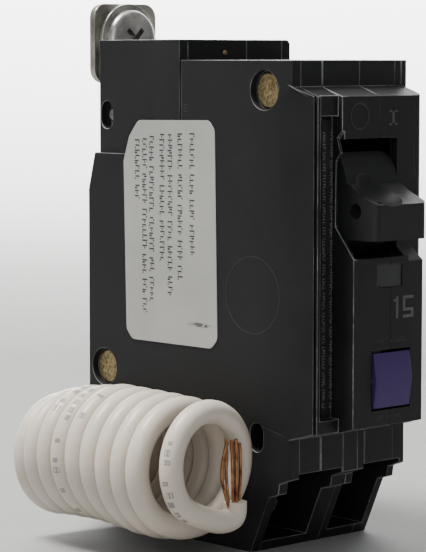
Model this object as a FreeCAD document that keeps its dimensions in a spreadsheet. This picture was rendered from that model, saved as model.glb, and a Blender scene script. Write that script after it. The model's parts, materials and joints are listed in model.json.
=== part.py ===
"""A bolt-on one-pole ground-fault breaker with a coiled neutral pigtail, in millimetres.

The breaker stands on its load end. +X runs across its width, away from the label side,
-Y is the front with the handle, +Z points to the line end with the bolt tab.
The origin is on the bottom face, in the middle of the case.
"""
import FreeCAD, Part
import math
import os

import Sketcher

Vector = FreeCAD.Vector
doc = FreeCAD.newDocument("Breaker")

# ---------------------------------------------------------------- driving dimensions

SIZES = {
    # case, measured from the label side (X), the front shoulder (Y) and the load end (Z)
    "case_width": 25.4, "origin_depth": 27.0, "cover_height": 75.8, "line_height": 79.0,
    "case_depth": 47.6, "line_depth": 45.2, "line_front": 25.2, "line_base": 60.7,
    "rear_slope_base": 54.6, "wall": 1.5, "label_seam": 1.8, "channel_seam": 6.4,
    "centre_seam": 14.5, "right_seam": 22.4, "partition": 1.2, "cover_inside": 24.0,
    "crack": 0.4, "top_round": 0.9, "seam_gap": 0.12, "groove": 0.2, "side_recess": 0.45,
    "recess_start": 30.6, "recess_end": 31.8,
    # load end
    "entry_top": 13.1, "jog_depth": 2.4, "jog_height": 11.5, "ledge_height": 9.8,
    "slant_depth": 4.7, "slant_height": 9.2, "foot_depth": 8.8, "floor": 1.6,
    "entry_depth": 23.5, "divider_left": 11.3, "divider_right": 16.0,
    "rail_slot_low": 4.4, "rail_slot_high": 9.6, "rail_slot_depth": 42.6, "rail_lip": 46.6,
    "rail_wall": 41.0,
    # nose
    "nose_top": 72.0, "nose_top_front": 70.4, "nose_base": 18.5, "nose_base_front": 20.3,
    "upper_front": 4.3, "lower_front": 6.8, "rim_front": 3.75, "rim_width": 0.6,
    "ramp_front": 3.3, "ramp_gap": 0.35, "ramp_gap_deep": 0.6,
    "channel_floor": 2.1, "channel_low": 21.6, "channel_high": 67.5, "channel_block": 3.4,
    "nose_right": 24.3, "lower_right": 21.7, "nose_wall": 1.5,
    "opening_left": 6.9, "opening_right": 18.5, "opening_low": 46.0, "opening_high": 64.0,
    "side_step_low": 47.2, "side_step_high": 45.2, "lip_front": 2.9, "lip_high": 61.9,
    "lip_low": 50.8,
    # handle
    "pivot_depth": 8.0, "pivot_height": 54.7, "drum_radius": 12.9, "drum_left": 7.1,
    "drum_right": 18.25, "drum_top_angle": 34.5, "drum_low_angle": 40.0, "hub_radius": 5.0,
    "pin_radius": 1.5, "running_gap": 0.05, "lever_tip": 10.8, "lever_ledge": 5.1,
    "lever_ledge_top": 57.2, "lever_break": 7.0, "lever_break_top": 56.0,
    "lever_tip_top": 54.3, "lever_bottom": 48.9, "lever_root": 2.5, "lever_round": 1.0,
    "scoop_radius": 4.7, "scoop_place": 10.8, "scoop_depth": 8.9, "scoop_height": 58.3,
    "drum_round": 2.6, "tie_radius": 1.2,
    "tie_depth": 6.4, "tie_height": 53.2, "boss_radius": 3.0,
    "pin_left": 3.0, "pin_right": 23.0, "boss_left_end": 6.7, "boss_right_end": 18.7,
    # test button and indicator
    "button_left": 10.8, "button_right": 18.7, "button_low": 23.0, "button_high": 31.5,
    "button_gap": 0.35, "button_edge": 7.1, "button_ridge": 7.7, "button_back": 4.2,
    "button_axle": 0.5, "button_axle_depth": 6.05, "button_axle_reach": 0.55,
    "window_left": 11.6, "window_right": 17.2, "window_low": 41.4, "window_high": 44.9,
    "window_front": 6.55, "window_back": 5.3,
    # line terminal
    "tab_left": 5.9, "tab_right": 19.5, "tab_rear": 54.3, "tab_thick": 1.3, "tab_top": 85.1,
    "tab_bottom": 71.9, "tab_corner": 2.4, "screw_height": 79.2, "screw_radius": 2.4,
    "screw_head_radius": 4.9, "screw_head_front": 50.4, "washer_radius": 5.9,
    "screw_length": 4.9, "screw_neck": 1.9, "neck_proud": 0.3, "tab_hole": 2.7,
    "strap_left": 8.5, "strap_right": 16.9, "strap_end": 38.0,
    "strap_inner_left": 15.0, "strap_inner_right": 23.2, "strap_drop": 62.0,
    # load terminals
    "lug_width": 6.6, "lug_front": 15.5, "lug_rear": 23.5, "lug_low": 1.6, "lug_high": 11.8,
    "lug_wall": 0.9, "lug_end_wall": 1.2, "load_lug_left": 16.9, "neutral_lug_left": 3.0,
    "lug_screw_radius": 2.0, "lug_head_radius": 2.9, "lug_head_front": 12.1,
    "lug_head_rear": 14.5, "lug_screw_tip": 17.7, "lug_screw_height": 7.2,
    "strap_thick": 1.2, "load_strap_low": 3.0, "load_strap_end": 29.5,
    # rivets and holes in the sides
    "rivet_head": 2.65, "rivet_sink": 3.05, "rivet_sink_depth": 1.3, "rivet_shank": 1.6,
    "slot_hole_depth": 7.5, "slot_hole_height": 18.1, "slot_hole_half": 1.45,
    "slot_hole_reach": 0.8, "oval_depth": 43.35, "oval_height": 66.9,
    # pigtail
    "wire": 3.6, "exit_depth": 43.4, "exit_height": 19.4, "gland_radius": 2.9,
    "gland_reach": 0.8, "coil_front": 3.2, "coil_rear": 43.0, "coil_radius": 11.0,
    "coil_centre": -11.6, "coil_height": 14.15, "lead_end": -11.6,
    "strand_radius": 0.3, "strand_step": 0.55, "strand_left": -8.4, "strand_front": 4.4,
    "strand_low": 8.6, "strand_length": 10.5, "gland_neck": 2.2, "gland_bore_long": 3.8,
    # label, strip and button details
    "label_thick": 0.12, "label_round": 1.4, "strip_left": 4.1, "strip_right": 6.2,
    "strip_thick": 0.2, "head_thick": 0.35, "recess_long": 4.6, "recess_wide": 1.6,
    "recess_deep": 0.9, "head_dome": 1.1, "washer_thick": 1.0, "slot_wide": 1.0,
    "slot_deep": 1.1, "strap_pin": 0.85, "strap_pin_left": 1.2, "strap_pin_depth": 42.8,
    "shelf_turn": 43.0,
    # contact arm, latch and thermal trip
    "arm_left": 19.2, "arm_thick": 2.0, "arm_half": 1.7, "arm_length": 26.0, "arm_eye": 3.0,
    "arm_pin": 1.2, "arm_pin_left": 18.5, "contact_back": 2.0, "contact_half": 1.8,
    "contact_high": 1.0, "contact_gap": 0.15, "contact_lap": 0.6, "contact_foot": 1.4,
    "fixed_left": 18.4, "fixed_right": 22.0, "latch_left": 15.5, "latch_right": 17.3,
    "latch_depth": 36.0, "latch_height": 49.0, "latch_bite": 0.15, "armature_rear": 32.6,
    "armature_thick": 1.0, "armature_left": 15.3, "armature_right": 22.9,
    "armature_low": 19.0, "armature_high": 38.0, "armature_edge": 0.8,
    "bimetal_left": 19.4, "bimetal_right": 22.4, "bimetal_front": 28.4,
    "bimetal_rear": 29.2, "bimetal_top": 40.0, "yoke_left": 17.9, "yoke_right": 23.7,
    "yoke_front": 26.6, "yoke_rear": 30.3, "yoke_low": 20.0, "yoke_high": 33.0,
    "yoke_thick": 1.2, "load_strap_left": 19.2, "load_strap_right": 22.6,
    "braid_left": 19.6, "braid_right": 21.8,
    # arc chute
    "chute_left": 15.5, "chute_right": 23.2, "chute_wall": 0.7, "chute_front": 27.0,
    "chute_rear": 36.6, "chute_low": 70.4, "chute_high": 77.2, "plate_low": 71.0,
    "plate_step": 1.7, "plate_thick": 0.8, "plate_front": 27.4, "plate_slot_left": 18.2,
    "plate_slot_right": 22.2, "plate_slot_rear": 35.2,
    # electronics
    "board_left": 3.2, "board_thick": 1.4, "board_front": 22.6, "board_rear": 40.6,
    "board_low": 23.4, "board_high": 58.4, "ring_gap": 0.3, "ring_depth": 32.0,
    "ring_height": 49.6, "ring_outer": 7.6, "ring_inner": 3.6, "ring_thick": 6.0,
    "small_ring_depth": 34.0, "small_ring_height": 35.4, "small_ring_outer": 5.6,
    "small_ring_inner": 2.8, "small_ring_thick": 4.4, "capacitor_depth": 25.5,
    "capacitor_height": 26.3, "capacitor_step": 6.6, "capacitor_radius": 2.5,
    "capacitor_long": 6.4, "chip_low": 23.9, "chip_high": 1.8, "chip_wide": 4.0,
    "chip_long": 5.0, "neutral_strap_left": 4.4, "neutral_strap_right": 8.0,
    "neutral_strap_end": 29.0, "neutral_strap_top": 14.0,
    # trip solenoid
    "solenoid_left": 4.4, "solenoid_right": 4.2, "solenoid_front": 5.2,
    "solenoid_rear": 6.4, "solenoid_low": 17.6, "solenoid_high": 33.0,
    "solenoid_plate": 1.2, "solenoid_bore": 1.9, "solenoid_coil": 4.1,
    "solenoid_place": 8.6, "solenoid_depth": 13.0, "plunger_radius": 1.6,
    "plunger_low": 3.6, "plunger_long": 18.0, "plunger_cap": 2.7, "plunger_cap_thick": 1.2,
    # test contact and rail clip
    "test_left": 12.0, "test_right": 16.0, "test_front": 3.6, "test_rear": 3.3,
    "test_top": 41.0, "clip_left": 8.0, "clip_right": 18.0, "clip_thick": 0.5,
    "clip_reach": 3.2, "clip_gap": 0.3,
}


class Size:
    """A number together with the sheet expression that it comes from."""

    def __init__(self, value, text):
        self.value = value
        self.text = text

    def __add__(self, other):
        other = size(other)
        return Size(self.value + other.value, f"({self.text} + {other.text})")

    def __sub__(self, other):
        other = size(other)
        return Size(self.value - other.value, f"({self.text} - {other.text})")

    def __mul__(self, factor):
        return Size(self.value * factor, f"({self.text} * {factor})")

    def __truediv__(self, factor):
        return Size(self.value / factor, f"({self.text} / {factor})")

    def __neg__(self):
        return Size(-self.value, f"(-1 * {self.text})")

    __radd__ = __add__
    __rmul__ = __mul__


def size(number):
    """A Size as it is, or a plain number as a Size."""
    if isinstance(number, Size):
        return number
    return Size(float(number), f"({float(number)})")


sheet = doc.addObject("Spreadsheet::Sheet", "Dims")
for row, (alias, number) in enumerate(SIZES.items(), start=1):
    sheet.set(f"A{row}", alias)
    sheet.set(f"B{row}", str(number))
    sheet.setAlias(f"B{row}", alias)
doc.recompute()


def dim(alias):
    """A driving dimension by its alias."""
    return Size(SIZES[alias], f"Dims.{alias}")


def across(place):
    """Row X of a place measured from the label side."""
    return size(place) - dim("case_width") / 2


def deep(place):
    """Row Y of a place measured backwards from the front shoulder."""
    return size(place) - dim("origin_depth")


def spot(depth, height):
    """Row Y and Z of a place on a side view."""
    return (deep(depth), size(height))


# ---------------------------------------------------------------- building blocks

PLANES = {"YZ": ("YZ_Plane", 1), "XY": ("XY_Plane", 1), "XZ": ("XZ_Plane", -1)}
parts = []


def keep(thing, label):
    """Names a finished sub-part and puts it on the list that is written out."""
    thing.Label = label
    parts.append(thing)
    return thing


def bind(thing, name, length):
    """Sets a property and ties it to its sheet expression."""
    length = size(length)
    thing.setExpression(name, length.text)


def new_body(label):
    """An empty body that becomes a sub-part."""
    body = doc.addObject("PartDesign::Body", "Body_" + label)
    return keep(body, label)


def new_sketch(body, plane, place):
    """A sketch on one of the body's origin planes, moved along the row axis to place."""
    role, sign = PLANES[plane]
    base = [item for item in body.Origin.OriginFeatures if item.Role == role][0]
    sketch = body.newObject("Sketcher::SketchObject", "Sketch")
    sketch.AttachmentSupport = (base, "")
    sketch.MapMode = "FlatFace"
    offset = size(place) * sign
    sketch.AttachmentOffset = FreeCAD.Placement(Vector(0, 0, offset.value), FreeCAD.Rotation())
    bind(sketch, "AttachmentOffset.Base.z", offset)
    return sketch


def hold(sketch, kind, item, point, length):
    """One driving distance from the sketch origin, or a radius."""
    if kind == "Radius":
        number = sketch.addConstraint(Sketcher.Constraint(kind, item, length.value))
    else:
        number = sketch.addConstraint(Sketcher.Constraint(kind, -1, 1, item, point, length.value))
    sketch.setExpression(f"Constraints[{number}]", length.text)


def outline(sketch, corners):
    """A closed polygon whose corners are all held from the origin."""
    first = sketch.GeometryCount
    corners = [(size(u), size(v)) for u, v in corners]
    count = len(corners)
    for index, (u, v) in enumerate(corners):
        next_u, next_v = corners[(index + 1) % count]
        start = Vector(u.value, v.value, 0)
        sketch.addGeometry(Part.LineSegment(start, Vector(next_u.value, next_v.value, 0)), False)
    for index, (u, v) in enumerate(corners):
        following = first + (index + 1) % count
        sketch.addConstraint(Sketcher.Constraint("Coincident", first + index, 2, following, 1))
        hold(sketch, "DistanceX", first + index, 1, u)
        hold(sketch, "DistanceY", first + index, 1, v)


def ring(sketch, centre, radius):
    """A circle held by its centre and radius."""
    u, v = size(centre[0]), size(centre[1])
    radius = size(radius)
    circle = Part.Circle(Vector(u.value, v.value, 0), Vector(0, 0, 1), radius.value)
    number = sketch.addGeometry(circle, False)
    hold(sketch, "DistanceX", number, 3, u)
    hold(sketch, "DistanceY", number, 3, v)
    hold(sketch, "Radius", number, 3, radius)


def draw(sketch, shape):
    """Draws a polygon from a list of corners, or a circle from (centre, radius)."""
    if isinstance(shape, list):
        outline(sketch, shape)
    else:
        ring(sketch, *shape)


def add(body, plane, shape, low, high):
    """Pads a shape from low to high along the plane's row axis."""
    start = high if plane == "XZ" else low
    sketch = new_sketch(body, plane, start)
    draw(sketch, shape)
    pad = body.newObject("PartDesign::Pad", "Pad")
    pad.Profile = sketch
    pad.Length = (size(high) - low).value
    bind(pad, "Length", size(high) - low)
    return pad


def take(body, plane, shape, low, high):
    """Pockets a shape from low to high along the plane's row axis."""
    start = low if plane == "XZ" else high
    sketch = new_sketch(body, plane, start)
    draw(sketch, shape)
    pocket = body.newObject("PartDesign::Pocket", "Pocket")
    pocket.Profile = sketch
    pocket.Length = (size(high) - low).value
    bind(pocket, "Length", size(high) - low)
    return pocket


def edges_like(shape, test):
    """Names of the edges whose middle point and direction pass the test."""
    names = []
    for index, edge in enumerate(shape.Edges, start=1):
        if edge.Degenerated or not isinstance(edge.Curve, Part.Line):
            continue
        middle = edge.valueAt((edge.FirstParameter + edge.LastParameter) / 2)
        if test(middle, edge.Curve.Direction):
            names.append(f"Edge{index}")
    return names


def round_off(body, radius, test):
    """Fillets the straight edges that pass the test."""
    doc.recompute()
    tip = body.Tip
    names = edges_like(tip.Shape, test)
    fillet = body.newObject("PartDesign::Fillet", "Fillet")
    fillet.Base = (tip, names)
    bind(fillet, "Radius", radius)
    return fillet


def box(label, low, high, kept=True):
    """A block between two corners."""
    block = doc.addObject("Part::Box", "Box_" + label)
    for axis, name, start, end in zip("xyz", ("Length", "Width", "Height"), low, high):
        bind(block, name, size(end) - start)
        bind(block, f"Placement.Base.{axis}", start)
    return keep(block, label) if kept else block


TURNS = {"X": FreeCAD.Rotation(Vector(0, 1, 0), 90), "Y": FreeCAD.Rotation(Vector(1, 0, 0), -90),
         "Z": FreeCAD.Rotation()}


def rod(label, axis, start, radius, length, kept=True):
    """A cylinder from a start point along a row axis."""
    cylinder = doc.addObject("Part::Cylinder", "Rod_" + label)
    bind(cylinder, "Radius", radius)
    bind(cylinder, "Height", length)
    cylinder.Placement = FreeCAD.Placement(Vector(), TURNS[axis])
    for letter, place in zip("xyz", start):
        bind(cylinder, f"Placement.Base.{letter}", place)
    return keep(cylinder, label) if kept else cylinder


def joined(label, pieces, kept=True):
    """Several pieces as one, whether they touch or are a group of identical ones."""
    union = doc.addObject("Part::MultiFuse", "Join_" + label)
    union.Shapes = pieces
    return keep(union, label) if kept else union


def without(label, base, tools, kept=True):
    """A piece with other pieces cut away."""
    cut = doc.addObject("Part::Cut", "Cut_" + label)
    cut.Base = base
    cut.Tool = tools[0] if len(tools) == 1 else joined(label + "_tools", tools, kept=False)
    return keep(cut, label) if kept else cut


def tube(label, axis, start, outer, inner, length, kept=True):
    """A plain bush or ring along a row axis."""
    body = rod(label + "_outside", axis, start, outer, length, kept=False)
    hole = rod(label + "_hole", axis, start, inner, length, kept=False)
    return without(label, body, [hole], kept)


# ---------------------------------------------------------------- case mouldings

def case_side(front_corners, rear_top_corners):
    """The side outline: front edge going down, load end, rear edge going up, line end."""
    lower = [
        spot(0, dim("entry_top") - 0.7), spot(dim("jog_depth"), dim("jog_height")),
        spot(dim("jog_depth") + 0.3, dim("ledge_height")),
        spot(dim("slant_depth"), dim("slant_height")), spot(dim("foot_depth"), 0),
        spot(dim("rail_lip"), 0), spot(dim("rail_lip"), dim("rail_slot_low") - 0.4),
        spot(dim("rail_slot_depth"), dim("rail_slot_low")),
        spot(dim("rail_slot_depth"), dim("rail_slot_high")),
        spot(dim("case_depth"), dim("rail_slot_high") + 0.6),
        spot(dim("case_depth"), dim("rear_slope_base")),
    ]
    return front_corners + lower + rear_top_corners


def full_side():
    """The outline of the mouldings that reach up to the line end."""
    return case_side([spot(0, dim("cover_height"))], [
        spot(46.0, dim("line_base")), spot(dim("line_depth"), dim("line_base") + 0.6),
        spot(dim("line_depth"), dim("line_height")), spot(dim("line_front"), dim("line_height")),
        spot(dim("line_front"), dim("cover_height")),
    ])


def inside_side():
    """The hollow of the case, one wall inside its outline."""
    wall = dim("wall")
    return [
        spot(wall, dim("entry_top") + wall), spot(wall, dim("cover_height") - wall),
        spot(dim("line_front") + wall, dim("cover_height") - wall),
        spot(dim("line_front") + wall, dim("line_height") - wall),
        spot(dim("line_depth") - wall, dim("line_height") - wall),
        spot(dim("line_depth") - wall, 60.0), spot(dim("case_depth") - wall, 58.0),
        spot(dim("case_depth") - wall, 11.6), spot(dim("rail_wall"), 11.6),
        spot(dim("rail_wall"), dim("floor")), spot(dim("entry_depth") + wall, dim("floor")),
        spot(dim("entry_depth") + wall, dim("entry_top") + wall),
    ]


def raised_nose(upper_lip):
    """The outline of the raised nose, with its front stepping out below the handle."""
    front = [
        spot(0.5, dim("nose_top")), spot(-dim("upper_front"), dim("nose_top_front")),
    ]
    low = [
        spot(-dim("lower_front"), dim("nose_base_front")), spot(0.5, dim("nose_base")),
    ]
    return front + upper_lip + low


def square_step():
    """The step of the raised nose at the foot of the handle's opening."""
    return [spot(-dim("upper_front"), dim("opening_low")),
            spot(-dim("lower_front"), dim("opening_low"))]


def nose_hollow():
    """The hollow behind the nose front, one wall inside it."""
    thick = dim("nose_wall")
    behind = dim("wall") + 0.2
    return [
        spot(behind, dim("nose_top_front") - thick),
        spot(thick - dim("upper_front"), dim("nose_top_front") - thick),
        spot(thick - dim("upper_front"), dim("opening_high") + 0.6),
        spot(thick - dim("upper_front"), dim("opening_low")),
        spot(thick - dim("lower_front"), dim("opening_low") - thick),
        spot(thick - dim("lower_front"), dim("nose_base_front") + thick),
        spot(behind, dim("nose_base_front") + thick),
    ]


def front_window(left, right, low, high):
    """A rectangle on the front view."""
    return [(across(left), low), (across(left), high), (across(right), high), (across(right), low)]


def side_rectangle(front, rear, low, high):
    """A rectangle on the side view."""
    return [spot(front, low), spot(front, high), spot(rear, high), spot(rear, low)]


PIVOT = spot(dim("pivot_depth"), dim("pivot_height"))
RIVETS = [spot(6.0, 71.3), spot(43.75, 25.6), spot(31.5, 7.4)]
RIGHT_SIDE = across(dim("case_width"))


def rivet_holes(body, low, high):
    """Clearance for the rivet shanks."""
    for centre in RIVETS:
        take(body, "YZ", (centre, dim("rivet_shank")), low, high)


def upright(place, tolerance=0.05):
    """A test for vertical edges at a given row X and Y."""
    def test(middle, direction):
        near = abs(middle.x - place[0].value) + abs(middle.y - place[1].value) < tolerance
        return near and abs(direction.z) > 0.99
    return test


def label_side_cover():
    """Thin cover on the label side, with the rivet seats and the pigtail exit."""
    body = new_body("label_side_cover")
    crack_edge = dim("line_front") - dim("crack")
    top = [spot(46.0, dim("line_base")), spot(crack_edge, dim("line_base")),
           spot(crack_edge, dim("cover_height"))]
    outer, inner = across(0), across(dim("label_seam"))
    add(body, "YZ", case_side([spot(0, dim("cover_height"))], top), outer, inner)
    add(body, "YZ", (PIVOT, dim("boss_radius")), inner, across(dim("boss_left_end")))
    take(body, "YZ", (PIVOT, dim("pin_radius")), across(dim("pin_left")),
         across(dim("boss_left_end")))
    rivet_holes(body, outer, inner)
    for centre in RIVETS:
        take(body, "YZ", (centre, dim("rivet_sink")), outer,
             outer + dim("rivet_sink_depth"))
    half, reach = dim("slot_hole_half"), dim("slot_hole_reach")
    middle = dim("slot_hole_height")
    depth = dim("slot_hole_depth")
    take(body, "YZ", side_rectangle(depth - half, depth + half, middle - reach, middle + reach),
         outer, inner)
    for end in (middle - reach, middle + reach):
        take(body, "YZ", (spot(depth, end), half), outer, inner)
    take(body, "YZ", (spot(dim("exit_depth"), dim("exit_height")), dim("gland_radius") - 0.7),
         outer, inner)
    round_off(body, 0.45, upright((outer, deep(0))))
    side_ramp(body, outer, inner)
    return body


def side_ramp(body, outer, inner):
    """The slanted side of the nose, with a narrow groove left before the next moulding."""
    front = deep(-dim("ramp_front"))
    slab = [spot(0.5, dim("nose_top")), (front, dim("nose_top_front")),
            (front, dim("nose_base_front") - 0.7), spot(0.5, dim("nose_base"))]
    add(body, "YZ", slab, outer, inner)
    ridge, before = inner - dim("ramp_gap"), outer - 1
    corners = [(before, deep(0)), (outer, deep(0)), (ridge, front),
               (inner, front + dim("ramp_gap_deep")), (inner + 1, front + dim("ramp_gap_deep")),
               (inner + 1, front - 1), (before, front - 1)]
    take(body, "XY", corners, dim("nose_base") - 1, dim("nose_top") + 1)


def line_end_cover():
    """Side cover over the line terminal, its rear two thirds set back a little."""
    body = new_body("line_end_cover")
    back = across(dim("label_seam"))
    section = [
        (across(0), deep(dim("line_front"))), (across(0), deep(dim("recess_start"))),
        (across(dim("side_recess")), deep(dim("recess_end"))),
        (across(dim("side_recess")), deep(dim("line_depth"))), (back, deep(dim("line_depth"))),
        (back, deep(dim("line_front"))),
    ]
    add(body, "XY", section, dim("line_base"), dim("line_height"))
    depth, height = dim("oval_depth"), dim("oval_height")
    half, reach = dim("slot_hole_half"), dim("slot_hole_reach")
    take(body, "YZ", side_rectangle(depth - half, depth + half, height - reach, height + reach),
         across(0), back)
    for end in (height - reach, height + reach):
        take(body, "YZ", (spot(depth, end), half), across(0), back)
    return body


def electronics_housing():
    """Deep moulding that holds the board; its floor is the wall to the mechanism."""
    body = new_body("electronics_housing")
    left, right = across(dim("label_seam")), across(dim("centre_seam"))
    channel = across(dim("channel_seam"))
    floor_side = right - dim("partition")
    add(body, "YZ", full_side(), left, right)
    rim = [spot(0.5, dim("nose_top")), spot(-dim("rim_front"), dim("nose_top_front")),
           spot(-dim("rim_front"), dim("nose_base_front") - 0.7), spot(0.5, dim("nose_base"))]
    add(body, "YZ", rim, left, channel)
    lip = [spot(-dim("upper_front"), dim("opening_high") + 1.2),
           spot(-dim("lip_front") - 0.35, dim("opening_high") + 0.2), spot(-3.95, dim("lip_high")),
           spot(-dim("lip_front") - 0.1, dim("lip_high") - 1.2),
           spot(-dim("lip_front"), dim("lip_low")), spot(-dim("lower_front"), dim("opening_low"))]
    add(body, "YZ", raised_nose(lip), channel, across(dim("opening_left")))
    add(body, "YZ", raised_nose(square_step()), across(dim("opening_left")), right)
    take(body, "YZ", inside_side(), left, floor_side)
    take(body, "YZ", nose_hollow(), channel + dim("nose_wall"), right)
    take(body, "XZ", front_window(dim("opening_left"), dim("centre_seam"), dim("opening_low"),
                                  dim("opening_high")), deep(-10), deep(dim("wall") + 0.2))
    take(body, "YZ", (PIVOT, dim("drum_radius") + 0.5), floor_side, right)
    take(body, "YZ", (PIVOT, dim("drum_radius") + 0.4), across(dim("opening_left")), floor_side)
    take(body, "YZ", side_rectangle(-1, dim("entry_depth"), dim("floor"), dim("entry_top")),
         left, across(dim("divider_left")))
    wire_hole(body, dim("neutral_lug_left"))
    strap_wall_slot(body, 4.2, 8.2)
    channel_cut = front_window(dim("label_seam") + dim("rim_width"), dim("channel_seam"),
                               dim("channel_low"), dim("channel_high"))
    take(body, "XZ", channel_cut, deep(-10), deep(-dim("channel_floor")))
    block_face = front_window(dim("label_seam") + dim("rim_width"), dim("channel_seam"),
                              dim("channel_high"), 75)
    take(body, "XZ", block_face, deep(-10), deep(-dim("channel_block")))
    button_opening(body)
    strap_slot(body)
    rivet_holes(body, left, right)
    shoulder_groove(body, dim("channel_seam"), dim("nose_top") + 0.2, dim("cover_height") + 1)
    shoulder_groove(body, dim("channel_seam"), 11, dim("nose_base") - 0.2)
    shoulder_groove(body, dim("divider_left"), 11, dim("nose_base") - 0.2)
    return body


def mechanism_frame():
    """Middle ring around the switching mechanism, open on both sides."""
    body = new_body("mechanism_frame")
    left, right = across(dim("centre_seam")), across(dim("right_seam"))
    add(body, "YZ", full_side(), left, right)
    step = [spot(-dim("upper_front"), dim("side_step_low")),
            spot(-dim("lower_front"), dim("side_step_high"))]
    middle = across(dim("opening_right"))
    add(body, "YZ", raised_nose(square_step()), left + dim("seam_gap"), middle)
    add(body, "YZ", raised_nose(step), middle, across(dim("lower_right")))
    flat = [spot(0.5, dim("nose_top")), spot(-dim("upper_front"), dim("nose_top_front")),
            spot(-dim("upper_front"), dim("nose_base_front") - 0.6), spot(0.5, dim("nose_base"))]
    add(body, "YZ", flat, across(dim("lower_right")), right)
    take(body, "YZ", inside_side(), left, right)
    take(body, "YZ", nose_hollow(), left, across(dim("lower_right")) - dim("nose_wall"))
    take(body, "XZ", front_window(dim("centre_seam"), dim("opening_right"), dim("opening_low"),
                                  dim("opening_high")), deep(-10), deep(dim("wall") + 0.2))
    take(body, "YZ", side_rectangle(-1, dim("entry_depth"), dim("floor"), dim("entry_top")),
         across(dim("divider_right")), right)
    wire_hole(body, dim("load_lug_left"))
    strap_wall_slot(body, 18.4, dim("cover_inside"))
    button_opening(body)
    strap_slot(body)
    rivet_holes(body, left, right)
    shoulder_groove(body, dim("divider_right"), 11, dim("nose_base") - 0.2)
    return body


def handle_side_cover():
    """Cover on the right side, with the rounded right edge of the nose."""
    body = new_body("handle_side_cover")
    left, inner = across(dim("right_seam")), across(dim("cover_inside"))
    add(body, "YZ", full_side(), left, RIGHT_SIDE)
    flat = [spot(0.5, dim("nose_top")), spot(-dim("upper_front"), dim("nose_top_front")),
            spot(-dim("upper_front"), dim("nose_base_front") - 0.6), spot(0.5, dim("nose_base"))]
    add(body, "YZ", flat, left, across(dim("nose_right")))
    take(body, "YZ", inside_side(), left, inner)
    take(body, "YZ", side_rectangle(-1, dim("entry_depth"), dim("floor"), dim("entry_top")),
         left, inner)
    wire_hole(body, dim("load_lug_left"))
    strap_wall_slot(body, 18.4, dim("cover_inside"))
    add(body, "YZ", (PIVOT, dim("boss_radius")), across(dim("boss_right_end")), inner + 0.2)
    take(body, "YZ", (PIVOT, dim("pin_radius")), across(dim("boss_right_end")),
         across(dim("pin_right")))
    rivet_holes(body, left, RIGHT_SIDE)
    for centre in RIVETS:
        take(body, "YZ", (centre, dim("rivet_sink")), RIGHT_SIDE - dim("rivet_sink_depth"),
             RIGHT_SIDE)
    shoulder_groove(body, 23.8, dim("nose_top") + 0.2, dim("cover_height") + 1)
    take(body, "XZ", front_window(24.3, 27, dim("cover_height"), 82), deep(dim("line_front")),
         deep(50))
    round_off(body, 1.3, upright((across(dim("nose_right")), deep(-dim("upper_front")))))
    round_off(body, 0.7, upright((RIGHT_SIDE, deep(0))))

    def top_right(middle, direction):
        top = abs(middle.z - dim("line_height").value) < 0.05 and middle.x > inner.value
        return top and abs(direction.y) > 0.99

    round_off(body, dim("top_round"), top_right)
    return body


def shoulder_groove(body, place, low, high):
    """Fine upright groove in the front shoulder."""
    half = dim("groove") / 2
    take(body, "XZ", [(across(place) - half, low), (across(place) - half, high),
                      (across(place) + half, high), (across(place) + half, low)],
         deep(-10), deep(dim("groove")))


def wire_hole(body, lug_left):
    """Hole in the load end under a lug, where the wire comes in."""
    left = lug_left + dim("lug_wall")
    right = lug_left + dim("lug_width") - dim("lug_wall")
    corners = [(across(left), deep(dim("lug_front") + dim("lug_end_wall"))),
               (across(left), deep(dim("lug_rear") - dim("lug_end_wall"))),
               (across(right), deep(dim("lug_rear") - dim("lug_end_wall"))),
               (across(right), deep(dim("lug_front") + dim("lug_end_wall")))]
    take(body, "XY", corners, size(-1), dim("floor") + 0.1)


def strap_wall_slot(body, left, right):
    """Slot through the wall behind a lug for its strap."""
    low = dim("load_strap_low")
    take(body, "XZ", front_window(left, right, low, low + dim("strap_thick")),
         deep(dim("entry_depth") - 0.5), deep(dim("entry_depth") + dim("wall") + 0.5))


def button_opening(body):
    """Openings in the nose for the test rocker, its axle and the indicator."""
    gap = dim("button_gap")
    take(body, "XZ", front_window(dim("button_left") - gap, dim("button_right") + gap,
                                  dim("button_low") - gap, dim("button_high") + gap),
         deep(-10), deep(-4.6))
    middle = (dim("button_low") + dim("button_high")) / 2
    reach = gap + dim("button_axle_reach")
    take(body, "YZ", (spot(-dim("button_axle_depth"), middle), dim("button_axle") + 0.05),
         across(dim("button_left") - reach), across(dim("button_right") + reach))
    take(body, "XZ", front_window(dim("window_left"), dim("window_right"), dim("window_low"),
                                  dim("window_high")), deep(-10), deep(-4.6))


def strap_slot(body):
    """Slot in the rear wall for the line terminal strap."""
    low = dim("tab_bottom")
    take(body, "XZ", front_window(dim("strap_left"), dim("strap_right"), low,
                                  low + dim("tab_thick")),
         deep(dim("line_depth") - dim("wall") - 0.8), deep(dim("line_depth") + 0.5))


# ---------------------------------------------------------------- trim and fasteners

LABEL_CORNERS = [
    spot(35.0, 66.2), spot(18.2, 66.5), spot(16.9, 65.0), spot(16.3, 32.4), spot(17.7, 30.9),
    spot(36.6, 30.8), spot(38.0, 32.4), spot(38.6, 59.6), spot(37.2, 63.6),
]


def side_label():
    """Paper label with rounded corners, its upper rear corner cut away."""
    body = new_body("side_label")
    add(body, "YZ", LABEL_CORNERS, across(-dim("label_thick")), across(0))
    round_off(body, dim("label_round"), lambda middle, direction: abs(direction.x) > 0.99)
    return body


def rating_strip():
    """Thin strip lying in the channel beside the nose."""
    floor_place = deep(-dim("channel_floor"))
    box("rating_strip",
        (across(dim("strip_left")), floor_place - dim("strip_thick"), dim("channel_low") + 0.3),
        (across(dim("strip_right")), floor_place, dim("channel_high") - 0.6))


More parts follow.
